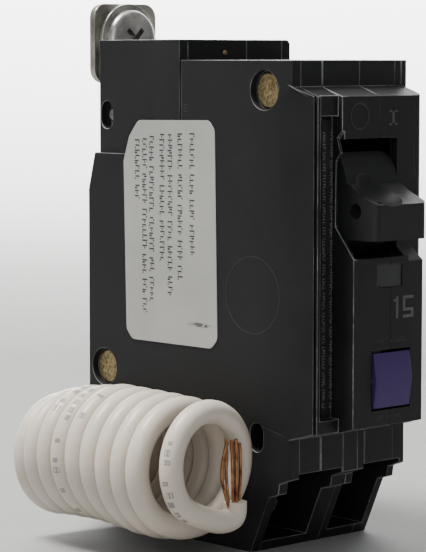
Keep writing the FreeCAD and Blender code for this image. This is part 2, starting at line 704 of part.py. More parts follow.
def case_rivets():
    """Brass rivets right through the case, with a head sunk in each side."""
    pieces = []
    for index, (y_place, z_place) in enumerate(RIVETS):
        near = across(dim("rivet_sink_depth"))
        far = RIGHT_SIDE - dim("rivet_sink_depth")
        shank = rod(f"rivet_shank_{index}", "X", (near, y_place, z_place), dim("rivet_shank"),
                    far - near, kept=False)
        heads = [rod(f"rivet_head_{index}_{end}", "X", (start, y_place, z_place),
                     dim("rivet_head"), dim("head_thick"), kept=False)
                 for end, start in (("near", near - dim("head_thick")), ("far", far))]
        pieces.append(joined(f"rivet_{index}", [shank] + heads, kept=False))
    joined("case_rivets", pieces)


def indicator_window():
    """Small square light pipe below the handle."""
    box("indicator_window",
        (across(dim("window_left")), deep(-dim("window_front")), dim("window_low")),
        (across(dim("window_right")), deep(-dim("window_back") + 0.5), dim("window_high")))


# ---------------------------------------------------------------- handle and button

def handle():
    """Drum sector with a hub, and the lever that stands out of the front."""
    body = new_body("handle")
    left, right = across(dim("drum_left")), across(dim("drum_right"))
    radius = dim("drum_radius")
    add(body, "YZ", (PIVOT, radius), left, right)
    steep = math.tan(math.radians(SIZES["drum_top_angle"]))
    gentle = math.tan(math.radians(SIZES["drum_low_angle"]))
    reach = radius * 2
    above = [PIVOT, (PIVOT[0] - reach, PIVOT[1] + reach * steep),
             (PIVOT[0] - reach, PIVOT[1] + reach), (PIVOT[0], PIVOT[1] + reach)]
    below = [PIVOT, (PIVOT[0], PIVOT[1] - reach), (PIVOT[0] - reach, PIVOT[1] - reach),
             (PIVOT[0] - reach, PIVOT[1] - reach * gentle)]
    behind = [(PIVOT[0], PIVOT[1] - reach), (PIVOT[0], PIVOT[1] + reach),
              (PIVOT[0] + reach, PIVOT[1] + reach), (PIVOT[0] + reach, PIVOT[1] - reach)]
    for corners in (above, below, behind):
        take(body, "YZ", corners, left, right)
    add(body, "YZ", (PIVOT, dim("hub_radius")), left, right)
    lever = [spot(-dim("lever_root"), dim("lever_ledge_top")),
             spot(-dim("lever_ledge"), dim("lever_ledge_top")),
             spot(-dim("lever_break"), dim("lever_break_top")),
             spot(-dim("lever_tip"), dim("lever_tip_top")),
             spot(-dim("lever_tip"), dim("lever_bottom")),
             spot(-dim("lever_root"), dim("lever_bottom"))]
    add(body, "YZ", lever, left, right)
    take(body, "YZ", (PIVOT, dim("pin_radius") + dim("running_gap")), left, right)
    take(body, "YZ", (spot(-dim("tie_depth"), dim("tie_height")), dim("tie_radius")), left, right)
    scoop = body.newObject("PartDesign::SubtractiveSphere", "Thumb_scoop")
    bind(scoop, "Radius", dim("scoop_radius"))
    centre = (across(dim("scoop_place")),) + spot(-dim("scoop_depth"), dim("scoop_height"))
    for letter, place in zip("xyz", centre):
        setattr(scoop.Placement.Base, letter, place.value)
        bind(scoop, f"Placement.Base.{letter}", place)
    corner = PIVOT[1] + radius * math.sin(math.radians(SIZES["drum_top_angle"]))

    def drum_corner(middle, direction):
        top = abs(middle.z - corner.value) < 4.5 and abs(middle.x - right.value) < 0.05
        return top and middle.z > corner.value - 3.5 and abs(direction.x) < 0.05

    round_off(body, dim("drum_round"), drum_corner)

    def lever_edge(middle, direction):
        tip = abs(middle.y - deep(-dim("lever_tip")).value) < 0.05
        return tip and abs(direction.z) > 0.99

    round_off(body, dim("lever_round"), lever_edge)
    return body


def test_button():
    """Rocker with a ridge across its middle, on two stub axles."""
    body = new_body("test_button")
    middle = (dim("button_low") + dim("button_high")) / 2
    section = [spot(-dim("button_back"), dim("button_low") + 0.5),
               spot(-dim("button_edge"), dim("button_low")),
               spot(-dim("button_ridge"), middle), spot(-dim("button_edge"), dim("button_high")),
               spot(-dim("button_back"), dim("button_high") - 0.5)]
    left, right = across(dim("button_left")), across(dim("button_right"))
    add(body, "YZ", section, left, right)
    reach = dim("button_gap") + dim("button_axle_reach") - 0.15
    add(body, "YZ", (spot(-dim("button_axle_depth"), middle), dim("button_axle")),
        left - reach, right + reach)

    def front_edge(middle_point, direction):
        return middle_point.y < deep(-dim("button_edge")).value + 0.35 and abs(direction.x) < 0.05

    round_off(body, 0.4, front_edge)
    return body


def handle_pin():
    """Steel pin that the handle turns on."""
    start = across(dim("pin_left"))
    rod("handle_pin", "X", (start,) + PIVOT, dim("pin_radius"), across(dim("pin_right")) - start)


# ---------------------------------------------------------------- switching mechanism

ARM_PIVOT = spot(14.5, 49.0)
ARM_OPEN_ANGLE, ARM_CLOSED_ANGLE = 52.0, 40.0
LATCH_PIVOT = spot(dim("latch_depth"), dim("latch_height"))


def along_arm(distance, angle, side=0.0):
    """Row Y and Z of a place along the contact arm, side being square to it."""
    turn = math.radians(angle)
    distance, side = size(distance), size(side)
    y_place = ARM_PIVOT[0] + (distance * math.cos(turn) + side * math.sin(turn))
    z_place = ARM_PIVOT[1] + (distance * math.sin(turn) - side * math.cos(turn))
    return (y_place, z_place)


def contact_arm():
    """Moving contact arm, drawn open, with an eye at its pivot."""
    body = new_body("contact_arm")
    left = across(dim("arm_left"))
    right = left + dim("arm_thick")
    half, length = dim("arm_half"), dim("arm_length")
    corners = [along_arm(0, ARM_OPEN_ANGLE, -half), along_arm(length, ARM_OPEN_ANGLE, -half),
               along_arm(length, ARM_OPEN_ANGLE, half), along_arm(0, ARM_OPEN_ANGLE, half)]
    add(body, "YZ", corners, left, right)
    add(body, "YZ", (ARM_PIVOT, dim("arm_eye")), left, right)
    take(body, "YZ", (ARM_PIVOT, dim("arm_pin") + dim("running_gap")), left, right)
    moving_contact(left, right)
    start = across(dim("arm_pin_left"))
    rod("contact_arm_pin", "X", (start,) + ARM_PIVOT, dim("arm_pin"),
        across(dim("cover_inside")) - start)


def contact_step(angle):
    """Half a contact's length along the arm, as its Y and Z parts."""
    turn = math.radians(angle)
    return dim("contact_half") * math.cos(turn), dim("contact_half") * math.sin(turn)


def moving_contact(left, right):
    """Silver button on the arm, square to it, towards the fixed one."""
    body = new_body("moving_contact")
    distance = dim("arm_length") - dim("contact_back")
    base = along_arm(distance, ARM_OPEN_ANGLE, dim("arm_half"))
    tip = along_arm(distance, ARM_OPEN_ANGLE, dim("arm_half") + dim("contact_high"))
    step_y, step_z = contact_step(ARM_OPEN_ANGLE)
    corners = [(base[0] - step_y, base[1] - step_z), (base[0] + step_y, base[1] + step_z),
               (tip[0] + step_y, tip[1] + step_z), (tip[0] - step_y, tip[1] - step_z)]
    add(body, "YZ", corners, left - dim("contact_lap"), right + dim("contact_lap"))


def fixed_contact():
    """Silver block on the strap, its face square to the closed arm."""
    body = new_body("fixed_contact")
    reach = dim("arm_half") + dim("contact_high") + dim("contact_gap")
    face = along_arm(dim("arm_length") - dim("contact_back"), ARM_CLOSED_ANGLE, reach)
    step_y, step_z = contact_step(ARM_CLOSED_ANGLE)
    strap_face = deep(dim("strap_end"))
    corners = [(face[0] - step_y, face[1] - step_z), (face[0] + step_y, face[1] + step_z),
               (strap_face, face[1] + step_z),
               (strap_face, face[1] - step_z - dim("contact_foot"))]
    add(body, "YZ", corners, across(dim("fixed_left")), across(dim("fixed_right")))


def trip_lever():
    """Latched lever that lets the contact arm go."""
    body = new_body("trip_lever")
    left, right = across(dim("latch_left")), across(dim("latch_right"))
    latch = dim("armature_rear") - dim("latch_bite")
    corners = [spot(37.5, 52.0), spot(39.0, 49.0), spot(36.6, 45.0), spot(34.8, 38.2),
               spot(latch, 38.2), spot(latch, 40.2), spot(33.2, 41.0), spot(33.4, 50.0)]
    add(body, "YZ", corners, left, right)
    take(body, "YZ", (LATCH_PIVOT, dim("arm_pin") + dim("running_gap")), left, right)
    rod("trip_lever_pin", "X", (across(dim("centre_seam")),) + LATCH_PIVOT, dim("arm_pin"), 3.2)


def bimetal():
    """Thermal strip standing on the load strap."""
    foot = dim("load_strap_low") + dim("strap_thick")
    box("bimetal", (across(dim("bimetal_left")), deep(dim("bimetal_front")), foot),
        (across(dim("bimetal_right")), deep(dim("bimetal_rear")), dim("bimetal_top")))


def magnet_yoke():
    """U-shaped iron around the strip."""
    left, right = across(dim("yoke_left")), across(dim("yoke_right"))
    front, rear, thick = deep(dim("yoke_front")), deep(dim("yoke_rear")), dim("yoke_thick")
    block = box("yoke_block", (left, front, dim("yoke_low")), (right, rear, dim("yoke_high")),
                kept=False)
    hollow = box("yoke_hollow", (left + thick, front + thick, dim("yoke_low") - 1),
                 (right - thick + 0.2, rear + 1, dim("yoke_high") + 1), kept=False)
    without("magnet_yoke", block, [hollow])


def armature():
    """Iron flap behind the yoke, on a knife edge at its foot; its top holds the trip lever."""
    left, right = across(dim("armature_left")), across(dim("armature_right"))
    rear, thick, low = dim("armature_rear"), dim("armature_thick"), dim("armature_low")
    flap = box("armature_flap", (left, deep(rear - thick), low),
               (right, deep(rear), dim("armature_high")), kept=False)
    edge = rod("armature_edge", "X", (left,) + spot(rear - thick / 2, low),
               dim("armature_edge"), right - left, kept=False)
    joined("armature", [flap, edge])


def arc_chute():
    """Steel plates with a slot for the arm, and the fibre sides that hold them."""
    plates = []
    left, right, wall = dim("chute_left"), dim("chute_right"), dim("chute_wall")
    rear = deep(dim("chute_rear"))
    for index in range(4):
        low = dim("plate_low") + dim("plate_step") * index
        plate = box(f"arc_plate_{index}", (across(left + wall), deep(dim("plate_front")), low),
                    (across(right), rear, low + dim("plate_thick")), kept=False)
        slot = box(f"arc_slot_{index}",
                   (across(dim("plate_slot_left")), deep(dim("plate_front")) - 1, low - 1),
                   (across(dim("plate_slot_right")), deep(dim("plate_slot_rear")), low + 2),
                   kept=False)
        plates.append(without(f"arc_u_{index}", plate, [slot], kept=False))
    joined("arc_plates", plates)
    front, low, high = deep(dim("chute_front")), dim("chute_low"), dim("chute_high")
    sides = [box(f"arc_side_{index}", (across(start), front, low),
                 (across(start) + wall, rear, high), kept=False)
             for index, start in enumerate((left, right))]
    joined("arc_chute_sides", sides)


def braid():
    """Flexible copper braid from the top of the thermal strip towards the arm's eye."""
    body = new_body("flexible_braid")
    corners = [spot(28.3, 40.0), spot(29.3, 40.0), spot(29.3, 42.4), spot(18.0, 46.4),
               spot(17.6, 45.5), spot(28.3, 41.7)]
    add(body, "YZ", corners, across(dim("braid_left")), across(dim("braid_right")))


def test_contact():
    """Springy strip behind the test rocker."""
    floor_place = dim("nose_base_front") + dim("nose_wall")
    box("test_contact", (across(dim("test_left")), deep(-dim("test_front")), floor_place),
        (across(dim("test_right")), deep(-dim("test_rear")), dim("test_top")))


PLUNGER_SPRING = {"radius": 2.3, "wire": 0.25, "pitch": 1.05, "length": 4.2}
MECHANISM_SPRING = {"radius": 1.5, "wire": 0.25, "pitch": 1.1, "length": 10.0}


def helix_spring(label, base, axis, radius, wire, pitch, length):
    """A coil spring of round wire, swept along a helix."""
    path = Part.makeHelix(pitch, length, radius)
    section = Part.Wire(Part.makeCircle(wire, Vector(radius, 0, 0), Vector(0, 1, 0)))
    coil = Part.Wire(path).makePipeShell([section], True, True)
    spring = doc.addObject("Part::Feature", "Spring_" + label)
    spring.Shape = coil
    spring.Placement = FreeCAD.Placement(Vector(*[size(place).value for place in base]),
                                         TURNS[axis])
    return keep(spring, label)


# ---------------------------------------------------------------- terminals

def line_terminal():
    """Bolt tab behind the line end and the strap that brings it into the case."""
    body = new_body("line_terminal")
    top, low = dim("tab_top"), dim("tab_bottom")
    front, rear = deep(dim("tab_rear") - dim("tab_thick")), deep(dim("tab_rear"))
    add(body, "XZ", front_window(dim("tab_left"), dim("tab_right"), low, top), front, rear)
    shelf_top = low + dim("tab_thick")
    left, right = across(dim("strap_left")), across(dim("strap_right"))
    inner_left, inner_right = dim("strap_inner_left"), dim("strap_inner_right")
    turn, end = deep(dim("shelf_turn")), dim("strap_end")
    shelf = [(left, turn), (left, rear), (right, rear), (right, turn),
             (across(inner_right), turn), (across(inner_right), deep(end)),
             (across(inner_left), deep(end)), (across(inner_left), turn)]
    add(body, "XY", shelf, low, shelf_top)
    add(body, "XZ", front_window(inner_left, inner_right, dim("strap_drop"), shelf_top),
        deep(end), deep(end + dim("tab_thick")))
    hole = (across(dim("case_width") / 2), dim("screw_height"))
    take(body, "XZ", (hole, dim("tab_hole")), front, rear)

    def corner(middle, direction):
        side = abs(middle.x) - (dim("tab_right") - dim("tab_left")).value / 2
        return abs(side) < 0.05 and middle.y > front.value and abs(direction.y) > 0.99

    round_off(body, dim("tab_corner").value, corner)
    return body


def bolt_screw():
    """Pan-head cross-recess screw that bolts the tab to a bus."""
    centre = across(dim("case_width") / 2)
    height = dim("screw_height")
    washer = dim("washer_thick")
    seat = dim("tab_rear") - dim("tab_thick") - washer
    head = rod("bolt_head", "Y", (centre, deep(dim("screw_head_front")), height),
               dim("screw_head_radius"), seat - dim("screw_head_front"), kept=False)
    domed = doc.addObject("Part::Fillet", "Bolt_head_dome")
    doc.recompute()
    front = deep(dim("screw_head_front")).value
    rim = [index for index, edge in enumerate(head.Shape.Edges, start=1)
           if isinstance(edge.Curve, Part.Circle) and abs(edge.Curve.Center.y - front) < 0.01]
    domed.Base = head
    domed.Edges = [(index, SIZES["head_dome"], SIZES["head_dome"]) for index in rim]
    neck_end = dim("tab_rear") + dim("neck_proud")
    neck = rod("bolt_neck", "Y", (centre, deep(seat), height), dim("screw_neck"),
               neck_end - seat, kept=False)
    shank = rod("bolt_shank", "Y", (centre, deep(neck_end), height), dim("screw_radius"),
                dim("screw_length"), kept=False)
    screw = joined("bolt_blank", [domed, neck, shank], kept=False)
    blades = []
    for index, angle in enumerate((45, 135)):
        blade = doc.addObject("Part::Box", f"Bolt_recess_{index}")
        for name, length in (("Length", "recess_long"), ("Width", "recess_wide"),
                             ("Height", "recess_deep")):
            bind(blade, name, dim(length))
        turn = FreeCAD.Rotation(Vector(0, 1, 0), angle)
        place = Vector(centre.value, front - 0.2, height.value)
        half = Vector(-SIZES["recess_long"] / 2, 0, -SIZES["recess_deep"] / 2)
        blade.Placement = FreeCAD.Placement(place + turn.multVec(half), turn)
        blades.append(blade)
    without("bolt_screw", screw, blades)
    tube("bolt_washer", "Y", (centre, deep(seat), height), dim("washer_radius"),
         dim("screw_neck") + 0.1, washer)


def box_lug(name, left):
    """Square lug that a wire enters from below, with a clamping screw in its front wall."""
    right = left + dim("lug_width")
    front, rear = deep(dim("lug_front")), deep(dim("lug_rear"))
    end_wall, side_wall = dim("lug_end_wall"), dim("lug_wall")
    block = box(name + "_block", (across(left), front, dim("lug_low")),
                (across(right), rear, dim("lug_high")), kept=False)
    hollow = box(name + "_hollow", (across(left + side_wall), front + end_wall, size(0)),
                 (across(right - side_wall), rear - end_wall, dim("lug_high") + 1), kept=False)
    centre = across(left + dim("lug_width") / 2)
    bore = rod(name + "_bore", "Y", (centre, front - 1, dim("lug_screw_height")),
               dim("lug_screw_radius") + dim("running_gap"), end_wall + 1.5, kept=False)
    without(name + "_lug", block, [hollow, bore])
    head = rod(name + "_head", "Y", (centre, deep(dim("lug_head_front")), dim("lug_screw_height")),
               dim("lug_head_radius"), dim("lug_head_rear") - dim("lug_head_front"), kept=False)
    shank = rod(name + "_shank", "Y", (centre, deep(dim("lug_head_rear")),
                                       dim("lug_screw_height")),
                dim("lug_screw_radius"), dim("lug_screw_tip") - dim("lug_head_rear"), kept=False)
    height, half = dim("lug_screw_height"), dim("slot_wide") / 2
    slot = box(name + "_slot", (centre - 4, deep(dim("lug_head_front")) - 1, height - half),
               (centre + 4, deep(dim("lug_head_front")) + dim("slot_deep"), height + half),
               kept=False)
    without(name + "_screw", joined(name + "_screw_blank", [head, shank], kept=False), [slot])


def load_strap():
    """Strap from the load lug to the foot of the thermal strip."""
    low = dim("load_strap_low")
    box("load_strap", (across(dim("load_strap_left")), deep(dim("lug_rear")), low),
        (across(dim("load_strap_right")), deep(dim("load_strap_end")), low + dim("strap_thick")))


def strap_pin():
    """Steel pin through the line end, its end showing in the cover's oval hole."""
    start = across(dim("strap_pin_left"))
    end = across(dim("centre_seam")) - dim("partition")
    rod("strap_pin", "X", (start,) + spot(dim("strap_pin_depth"), dim("oval_height")),
        dim("strap_pin"), end - start)


def neutral_strap():
    """Strap from the neutral lug to the foot of the board."""
    low, thick = dim("load_strap_low"), dim("strap_thick")
    left, right = across(dim("neutral_strap_left")), across(dim("neutral_strap_right"))
    end = deep(dim("neutral_strap_end"))
    flat = box("neutral_strap_flat", (left, deep(dim("lug_rear")), low),
               (right, end, low + thick), kept=False)
    upright_part = box("neutral_strap_upright", (left, end - thick, low),
                       (right, end, dim("neutral_strap_top")), kept=False)
    joined("neutral_strap", [flat, upright_part])


# ---------------------------------------------------------------- electronics

def electronics():
    """Board, its components, two sensing rings and the trip solenoid."""
    board = across(dim("board_left"))
    face = board + dim("board_thick")
    box("circuit_board", (board, deep(dim("board_front")), dim("board_low")),
        (face, deep(dim("board_rear")), dim("board_high")))
    for name, role in (("sensing_transformer", "ring"), ("neutral_transformer", "small_ring")):
        centre = spot(dim(role + "_depth"), dim(role + "_height"))
        tube(name, "X", (face + dim("ring_gap"),) + centre, dim(role + "_outer"),
             dim(role + "_inner"), dim(role + "_thick"))
    first, step = dim("capacitor_height"), dim("capacitor_step")
    capacitors = [rod(f"capacitor_{index}", "X",
                      (face,) + spot(dim("capacitor_depth"), first + step * index),
                      dim("capacitor_radius"), dim("capacitor_long"), kept=False)
                  for index in range(2)]
    low = dim("chip_low")
    chips = [box(f"chip_{index}", (face, deep(depth), low),
                 (face + dim("chip_high"), deep(depth) + dim("chip_wide"), low + dim("chip_long")),
                 kept=False) for index, depth in enumerate((29.4, 35.6))]
    joined("board_components", capacitors + chips)
    solenoid(across(dim("solenoid_place")), deep(dim("solenoid_depth")))


def solenoid(x_place, y_place):
    """Bobbin between two plates, with the plunger that trips the latch."""
    low, high, thick = dim("solenoid_low"), dim("solenoid_high"), dim("solenoid_plate")
    left, right = x_place - dim("solenoid_left"), x_place + dim("solenoid_right")
    front, rear = y_place - dim("solenoid_front"), y_place + dim("solenoid_rear")
    plates = [box(f"solenoid_plate_{index}", (left, front, start), (right, rear, start + thick),
                  kept=False) for index, start in enumerate((low, high))]
    back = box("solenoid_back", (left, rear - thick, low), (right, rear, high + thick), kept=False)
    frame = joined("solenoid_blank", plates + [back], kept=False)
    bore = rod("solenoid_bore", "Z", (x_place, y_place, low - 1), dim("solenoid_bore"),
               high - low + 4, kept=False)
    without("solenoid_frame", frame, [bore])
    tube("solenoid_coil", "Z", (x_place, y_place, low + thick), dim("solenoid_coil"),
         dim("solenoid_bore"), high - low - thick)
    start = low + dim("plunger_low")
    stem = rod("plunger_stem", "Z", (x_place, y_place, start), dim("plunger_radius"),
               dim("plunger_long"), kept=False)
    head = rod("plunger_head", "Z", (x_place, y_place, start + dim("plunger_long")),
               dim("plunger_cap"), dim("plunger_cap_thick"), kept=False)
    joined("solenoid_plunger", [stem, head])
    helix_spring("plunger_spring", (x_place, y_place, high + thick + 0.3), "Z", **PLUNGER_SPRING)


# ---------------------------------------------------------------- pigtail and rail clip

def pigtail():
    """Strain-relief bush, the short straight lead and the solid that the coil fills."""
    exit_place = spot(dim("exit_depth"), dim("exit_height"))
    wire_radius = dim("wire") / 2
    outside = across(-dim("gland_reach"))
    flange = rod("gland_flange", "X", (outside,) + exit_place, dim("gland_radius"),
                 dim("gland_reach"), kept=False)
    neck = rod("gland_neck", "X", (across(0),) + exit_place, dim("gland_neck"),
               dim("label_seam") + 1.2, kept=False)
    bore = rod("gland_bore", "X", (outside,) + exit_place, wire_radius - 0.3,
               dim("gland_bore_long"), kept=False)
    without("pigtail_gland", joined("gland_blank", [flange, neck], kept=False), [bore])
    lead = doc.addObject("Part::Feature", "Lead")
    start = Vector(outside.value, exit_place[0].value, exit_place[1].value)
    end = Vector(across(dim("lead_end")).value, start.y, start.z)
    path = Part.Wire([Part.LineSegment(start, end).toShape()])
    section = Part.Wire(Part.makeCircle(wire_radius.value, start, Vector(1, 0, 0)))
    lead.Shape = path.makePipe(Part.Face(section))
    keep(lead, "pigtail_lead")
    expected = math.pi * wire_radius.value ** 2 * path.Length
    print("pigtail lead is straight,", round(path.Length, 2), "mm long, volume ratio",
          round(lead.Shape.Volume / expected, 4))
    coil_start = (across(dim("coil_centre")), deep(dim("coil_front")), dim("coil_height"))
    tube("pigtail_coil", "Y", coil_start, dim("coil_radius"), dim("coil_radius") - dim("wire"),
         dim("coil_rear") - dim("coil_front"))
    print("pigtail coil bends at", round(dim("coil_radius").value - wire_radius.value, 2), "mm")
    strands()


def strands():
    """Bare copper strands standing out of the pigtail's end."""
    pieces = []
    for index in range(6):
        x_place = across(dim("strand_left")) + dim("strand_step") * index
        y_place = deep(dim("strand_front")) + dim("strand_step") * (index % 2)
        place = (x_place, y_place, dim("strand_low"))
        pieces.append(rod(f"strand_{index}", "Z", place, dim("strand_radius"),
                          dim("strand_length"), kept=False))
    joined("pigtail_strands", pieces)


def rail_clip():
    """Spring strip in the rail slot that grips a panel rail."""
    low, high = dim("rail_slot_low"), dim("rail_slot_high")
    back = dim("rail_slot_depth")
    left, right = across(dim("clip_left")), across(dim("clip_right"))
    top, thick = high - dim("clip_gap"), dim("clip_thick")
    wall_strip = box("clip_back", (left, deep(back), low + 0.1),
                     (right, deep(back) + thick, top), kept=False)
    tongue = box("clip_tongue", (left, deep(back), top - thick),
                 (right, deep(back + dim("clip_reach")), top), kept=False)
    joined("rail_clip", [wall_strip, tongue])


# ---------------------------------------------------------------- assembly

label_side_cover()
line_end_cover()
electronics_housing()
mechanism_frame()
handle_side_cover()
side_label()
rating_strip()
case_rivets()
indicator_window()
handle()
test_button()
handle_pin()
contact_arm()
fixed_contact()
trip_lever()
bimetal()
magnet_yoke()
armature()
braid()
test_contact()
arc_chute()
helix_spring("mechanism_spring", (across(20.4), deep(31.0), 50.0), "Y", **MECHANISM_SPRING)
line_terminal()
strap_pin()
bolt_screw()
box_lug("load", dim("load_lug_left"))
box_lug("neutral", dim("neutral_lug_left"))
load_strap()
neutral_strap()
electronics()
pigtail()
rail_clip()
doc.recompute()

for item in doc.Objects:
    if "Invalid" in item.State or "Error" in item.State:
        raise RuntimeError(f"{item.Name} ({item.Label}) failed: {item.State}")

os.makedirs("parts", exist_ok=True)
for item in parts:
    shape = item.Shape
    if shape.isNull() or not shape.isValid():
        raise RuntimeError(f"{item.Label} has no valid shape")
    shape.exportStep(f"parts/{item.Label}.step")
    print(f"{item.Label:22s} solids {len(shape.Solids)} volume {shape.Volume:9.2f}")
print(len(parts), "sub-parts written")
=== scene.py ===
"""Looks of a bolt-on ground-fault breaker: its mouldings, print, screws and coiled pigtail.

Lengths are in millimetres, counted in the case's own coordinates: x from the label side, y from
the front shoulder (the nose is at negative y) and z up from the load end. Only the floor, the
lamps and the materials' bumps are in the frame's metres.
"""
import json
import math
import random

import bmesh
import bpy
from mathutils import Matrix, Vector


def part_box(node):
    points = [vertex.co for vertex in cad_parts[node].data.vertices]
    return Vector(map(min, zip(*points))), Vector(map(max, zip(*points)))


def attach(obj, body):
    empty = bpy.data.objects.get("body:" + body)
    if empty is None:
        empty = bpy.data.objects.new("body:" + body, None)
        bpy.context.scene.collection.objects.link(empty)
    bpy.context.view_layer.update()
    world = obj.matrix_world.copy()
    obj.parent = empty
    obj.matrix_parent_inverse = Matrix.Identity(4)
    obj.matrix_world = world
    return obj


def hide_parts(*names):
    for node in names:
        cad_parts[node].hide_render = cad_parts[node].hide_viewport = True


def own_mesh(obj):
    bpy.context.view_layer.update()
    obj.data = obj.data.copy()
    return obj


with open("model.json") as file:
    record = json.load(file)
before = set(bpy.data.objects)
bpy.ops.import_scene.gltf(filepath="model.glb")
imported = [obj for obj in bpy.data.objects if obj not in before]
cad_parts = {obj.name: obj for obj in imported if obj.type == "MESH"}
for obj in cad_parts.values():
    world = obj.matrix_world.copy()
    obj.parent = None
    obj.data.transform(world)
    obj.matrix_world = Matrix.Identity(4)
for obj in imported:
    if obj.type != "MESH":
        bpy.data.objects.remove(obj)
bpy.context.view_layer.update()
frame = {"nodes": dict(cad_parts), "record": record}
MM = 0.001
NOSE_SIDE = 3.3    # how far the label cover's part of the nose stands in front of the shoulder
CASE_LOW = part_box("label_side_cover")[0]
SHOULDER = CASE_LOW[1] + NOSE_SIDE * MM
LABEL_SIDE = CASE_LOW[0]


def at(x, y, z):
    """A place in the case's own millimetres, as a point in the frame."""
    return Vector((LABEL_SIDE + x * MM, SHOULDER + y * MM, z * MM))


# ---------------------------------------------------------------- materials

def new_material(name, colour, roughness, metallic=0.0, specular=0.5):
    """A Principled material; returns it with its nodes, links and shader."""
    material = bpy.data.materials.new(name)
    material.use_nodes = True
    nodes, links = material.node_tree.nodes, material.node_tree.links
    shader = nodes["Principled BSDF"]
    shader.inputs["Base Color"].default_value = (*colour, 1)
    shader.inputs["Roughness"].default_value = roughness
    shader.inputs["Metallic"].default_value = metallic
    shader.inputs["Specular IOR Level"].default_value = specular
    return material, nodes, links, shader


def noise(nodes, links, scale, detail, roughness=0.55):
    """A noise texture in object space, counted in features per metre."""
    coordinates = nodes.new("ShaderNodeTexCoord")
    texture = nodes.new("ShaderNodeTexNoise")
    texture.inputs["Scale"].default_value = scale
    texture.inputs["Detail"].default_value = detail
    texture.inputs["Roughness"].default_value = roughness
    links.new(coordinates.outputs["Object"], texture.inputs["Vector"])
    return texture.outputs["Fac"]


def ramp(nodes, links, factor, stops):
    """A colour ramp over a factor; stops are (place, colour)."""
    node = nodes.new("ShaderNodeValToRGB")
    elements = node.color_ramp.elements
    while len(elements) < len(stops):
        elements.new(0.5)
    for element, (place, colour) in zip(elements, stops):
        element.position = place
        element.color = (*colour, 1)
    links.new(factor, node.inputs["Fac"])
    return node.outputs["Color"]


NOISE_LOW, NOISE_HIGH = 0.3, 0.7    # a noise texture's factor mostly stays between these


def spread(nodes, links, factor, low, high):
    """Maps a noise factor's usual range onto low to high."""
    node = nodes.new("ShaderNodeMapRange")
    node.inputs["From Min"].default_value = NOISE_LOW
    node.inputs["From Max"].default_value = NOISE_HIGH
    node.inputs["To Min"].default_value = low
    node.inputs["To Max"].default_value = high
    links.new(factor, node.inputs["Value"])
    return node.outputs["Result"]


def blend(nodes, links, factor, under, over):
    """Mixes a plain colour over another colour output, by a factor output."""
    mix = nodes.new("ShaderNodeMix")
    mix.data_type = "RGBA"
    links.new(factor, mix.inputs["Factor"])
    links.new(under, mix.inputs["A"])
    mix.inputs["B"].default_value = (*over, 1)
    return mix.outputs["Result"]


def calculate(nodes, links, operation, first, second, clamp=False):
    """A maths node on an output and a second output or number."""
    node = nodes.new("ShaderNodeMath")
    node.operation = operation
    node.use_clamp = clamp
    links.new(first, node.inputs[0])
    if isinstance(second, float):
        node.inputs[1].default_value = second
    else:
        links.new(second, node.inputs[1])
    return node.outputs["Value"]


def colour_of(material):
    """A finished material's nodes, links, shader and the output that colours it."""
    nodes, links = material.node_tree.nodes, material.node_tree.links
    shader = nodes["Principled BSDF"]
    return nodes, links, shader, shader.inputs["Base Color"].links[0].from_socket


def bumps(nodes, links, shader, layers):
    """Stacks bump layers, each (height output, distance in metres, strength)."""
    normal = None
    for height, distance, strength in layers:
        bump = nodes.new("ShaderNodeBump")
        bump.inputs["Distance"].default_value = distance
        bump.inputs["Strength"].default_value = strength
        links.new(height, bump.inputs["Height"])
        if normal:
            links.new(normal, bump.inputs["Normal"])
        normal = bump.outputs["Normal"]
    links.new(normal, shader.inputs["Normal"])


def moulded(name, dark, light, roughness, grain=1.0, specular=0.5, wear_and_highlight=0.66, scuff_gain=2.1,
            patch=60):
    """Moulded plastic: cloudy colour, fine grain, a few scuffs and uneven gloss.

    The cloud has so many patches per metre. Scuffs start where their own noise passes worn, and
    are the light colour times scuff_gain.
    """
    grain_scale, grain_height, cloud_height = 2600, 0.00006 * grain, 0.0004
    scuff_scale, scuff_fade = 190, 0.14
    material, nodes, links, shader = new_material(name, dark, roughness[0], specular=specular)
    cloud = noise(nodes, links, patch, detail=5)
    speck = noise(nodes, links, grain_scale, detail=2)
    scuff = noise(nodes, links, scuff_scale, detail=8, roughness=0.75)
    base = ramp(nodes, links, cloud, [(NOISE_LOW, dark), (NOISE_HIGH, light)])
    scuffed = ramp(nodes, links, scuff, [(wear_and_highlight, (0, 0, 0)), (wear_and_highlight + scuff_fade, (1, 1, 1))])
    scuff_colour = tuple(min(1.0, value * scuff_gain) for value in light)
    links.new(blend(nodes, links, scuffed, base, scuff_colour), shader.inputs["Base Color"])
    links.new(spread(nodes, links, cloud, *roughness), shader.inputs["Roughness"])
    bumps(nodes, links, shader, [(speck, grain_height, 0.5), (cloud, cloud_height, 0.25)])
    return material


def metal(name, dark, light, roughness, spots=260):
    """Worn metal: mottled colour with so many spots per metre, fine dents, uneven roughness."""
    mark_scale, mark_height = 900, 0.00004
    stained, clean = 0.32, 0.62
    material, nodes, links, shader = new_material(name, light, roughness[0], metallic=1.0)
    marks = noise(nodes, links, mark_scale, detail=6)
    stain = noise(nodes, links, spots, detail=5)
    links.new(ramp(nodes, links, stain, [(stained, dark), (clean, light)]),
              shader.inputs["Base Color"])
    links.new(spread(nodes, links, marks, *roughness), shader.inputs["Roughness"])
    bumps(nodes, links, shader, [(marks, mark_height, 0.5)])
    return material


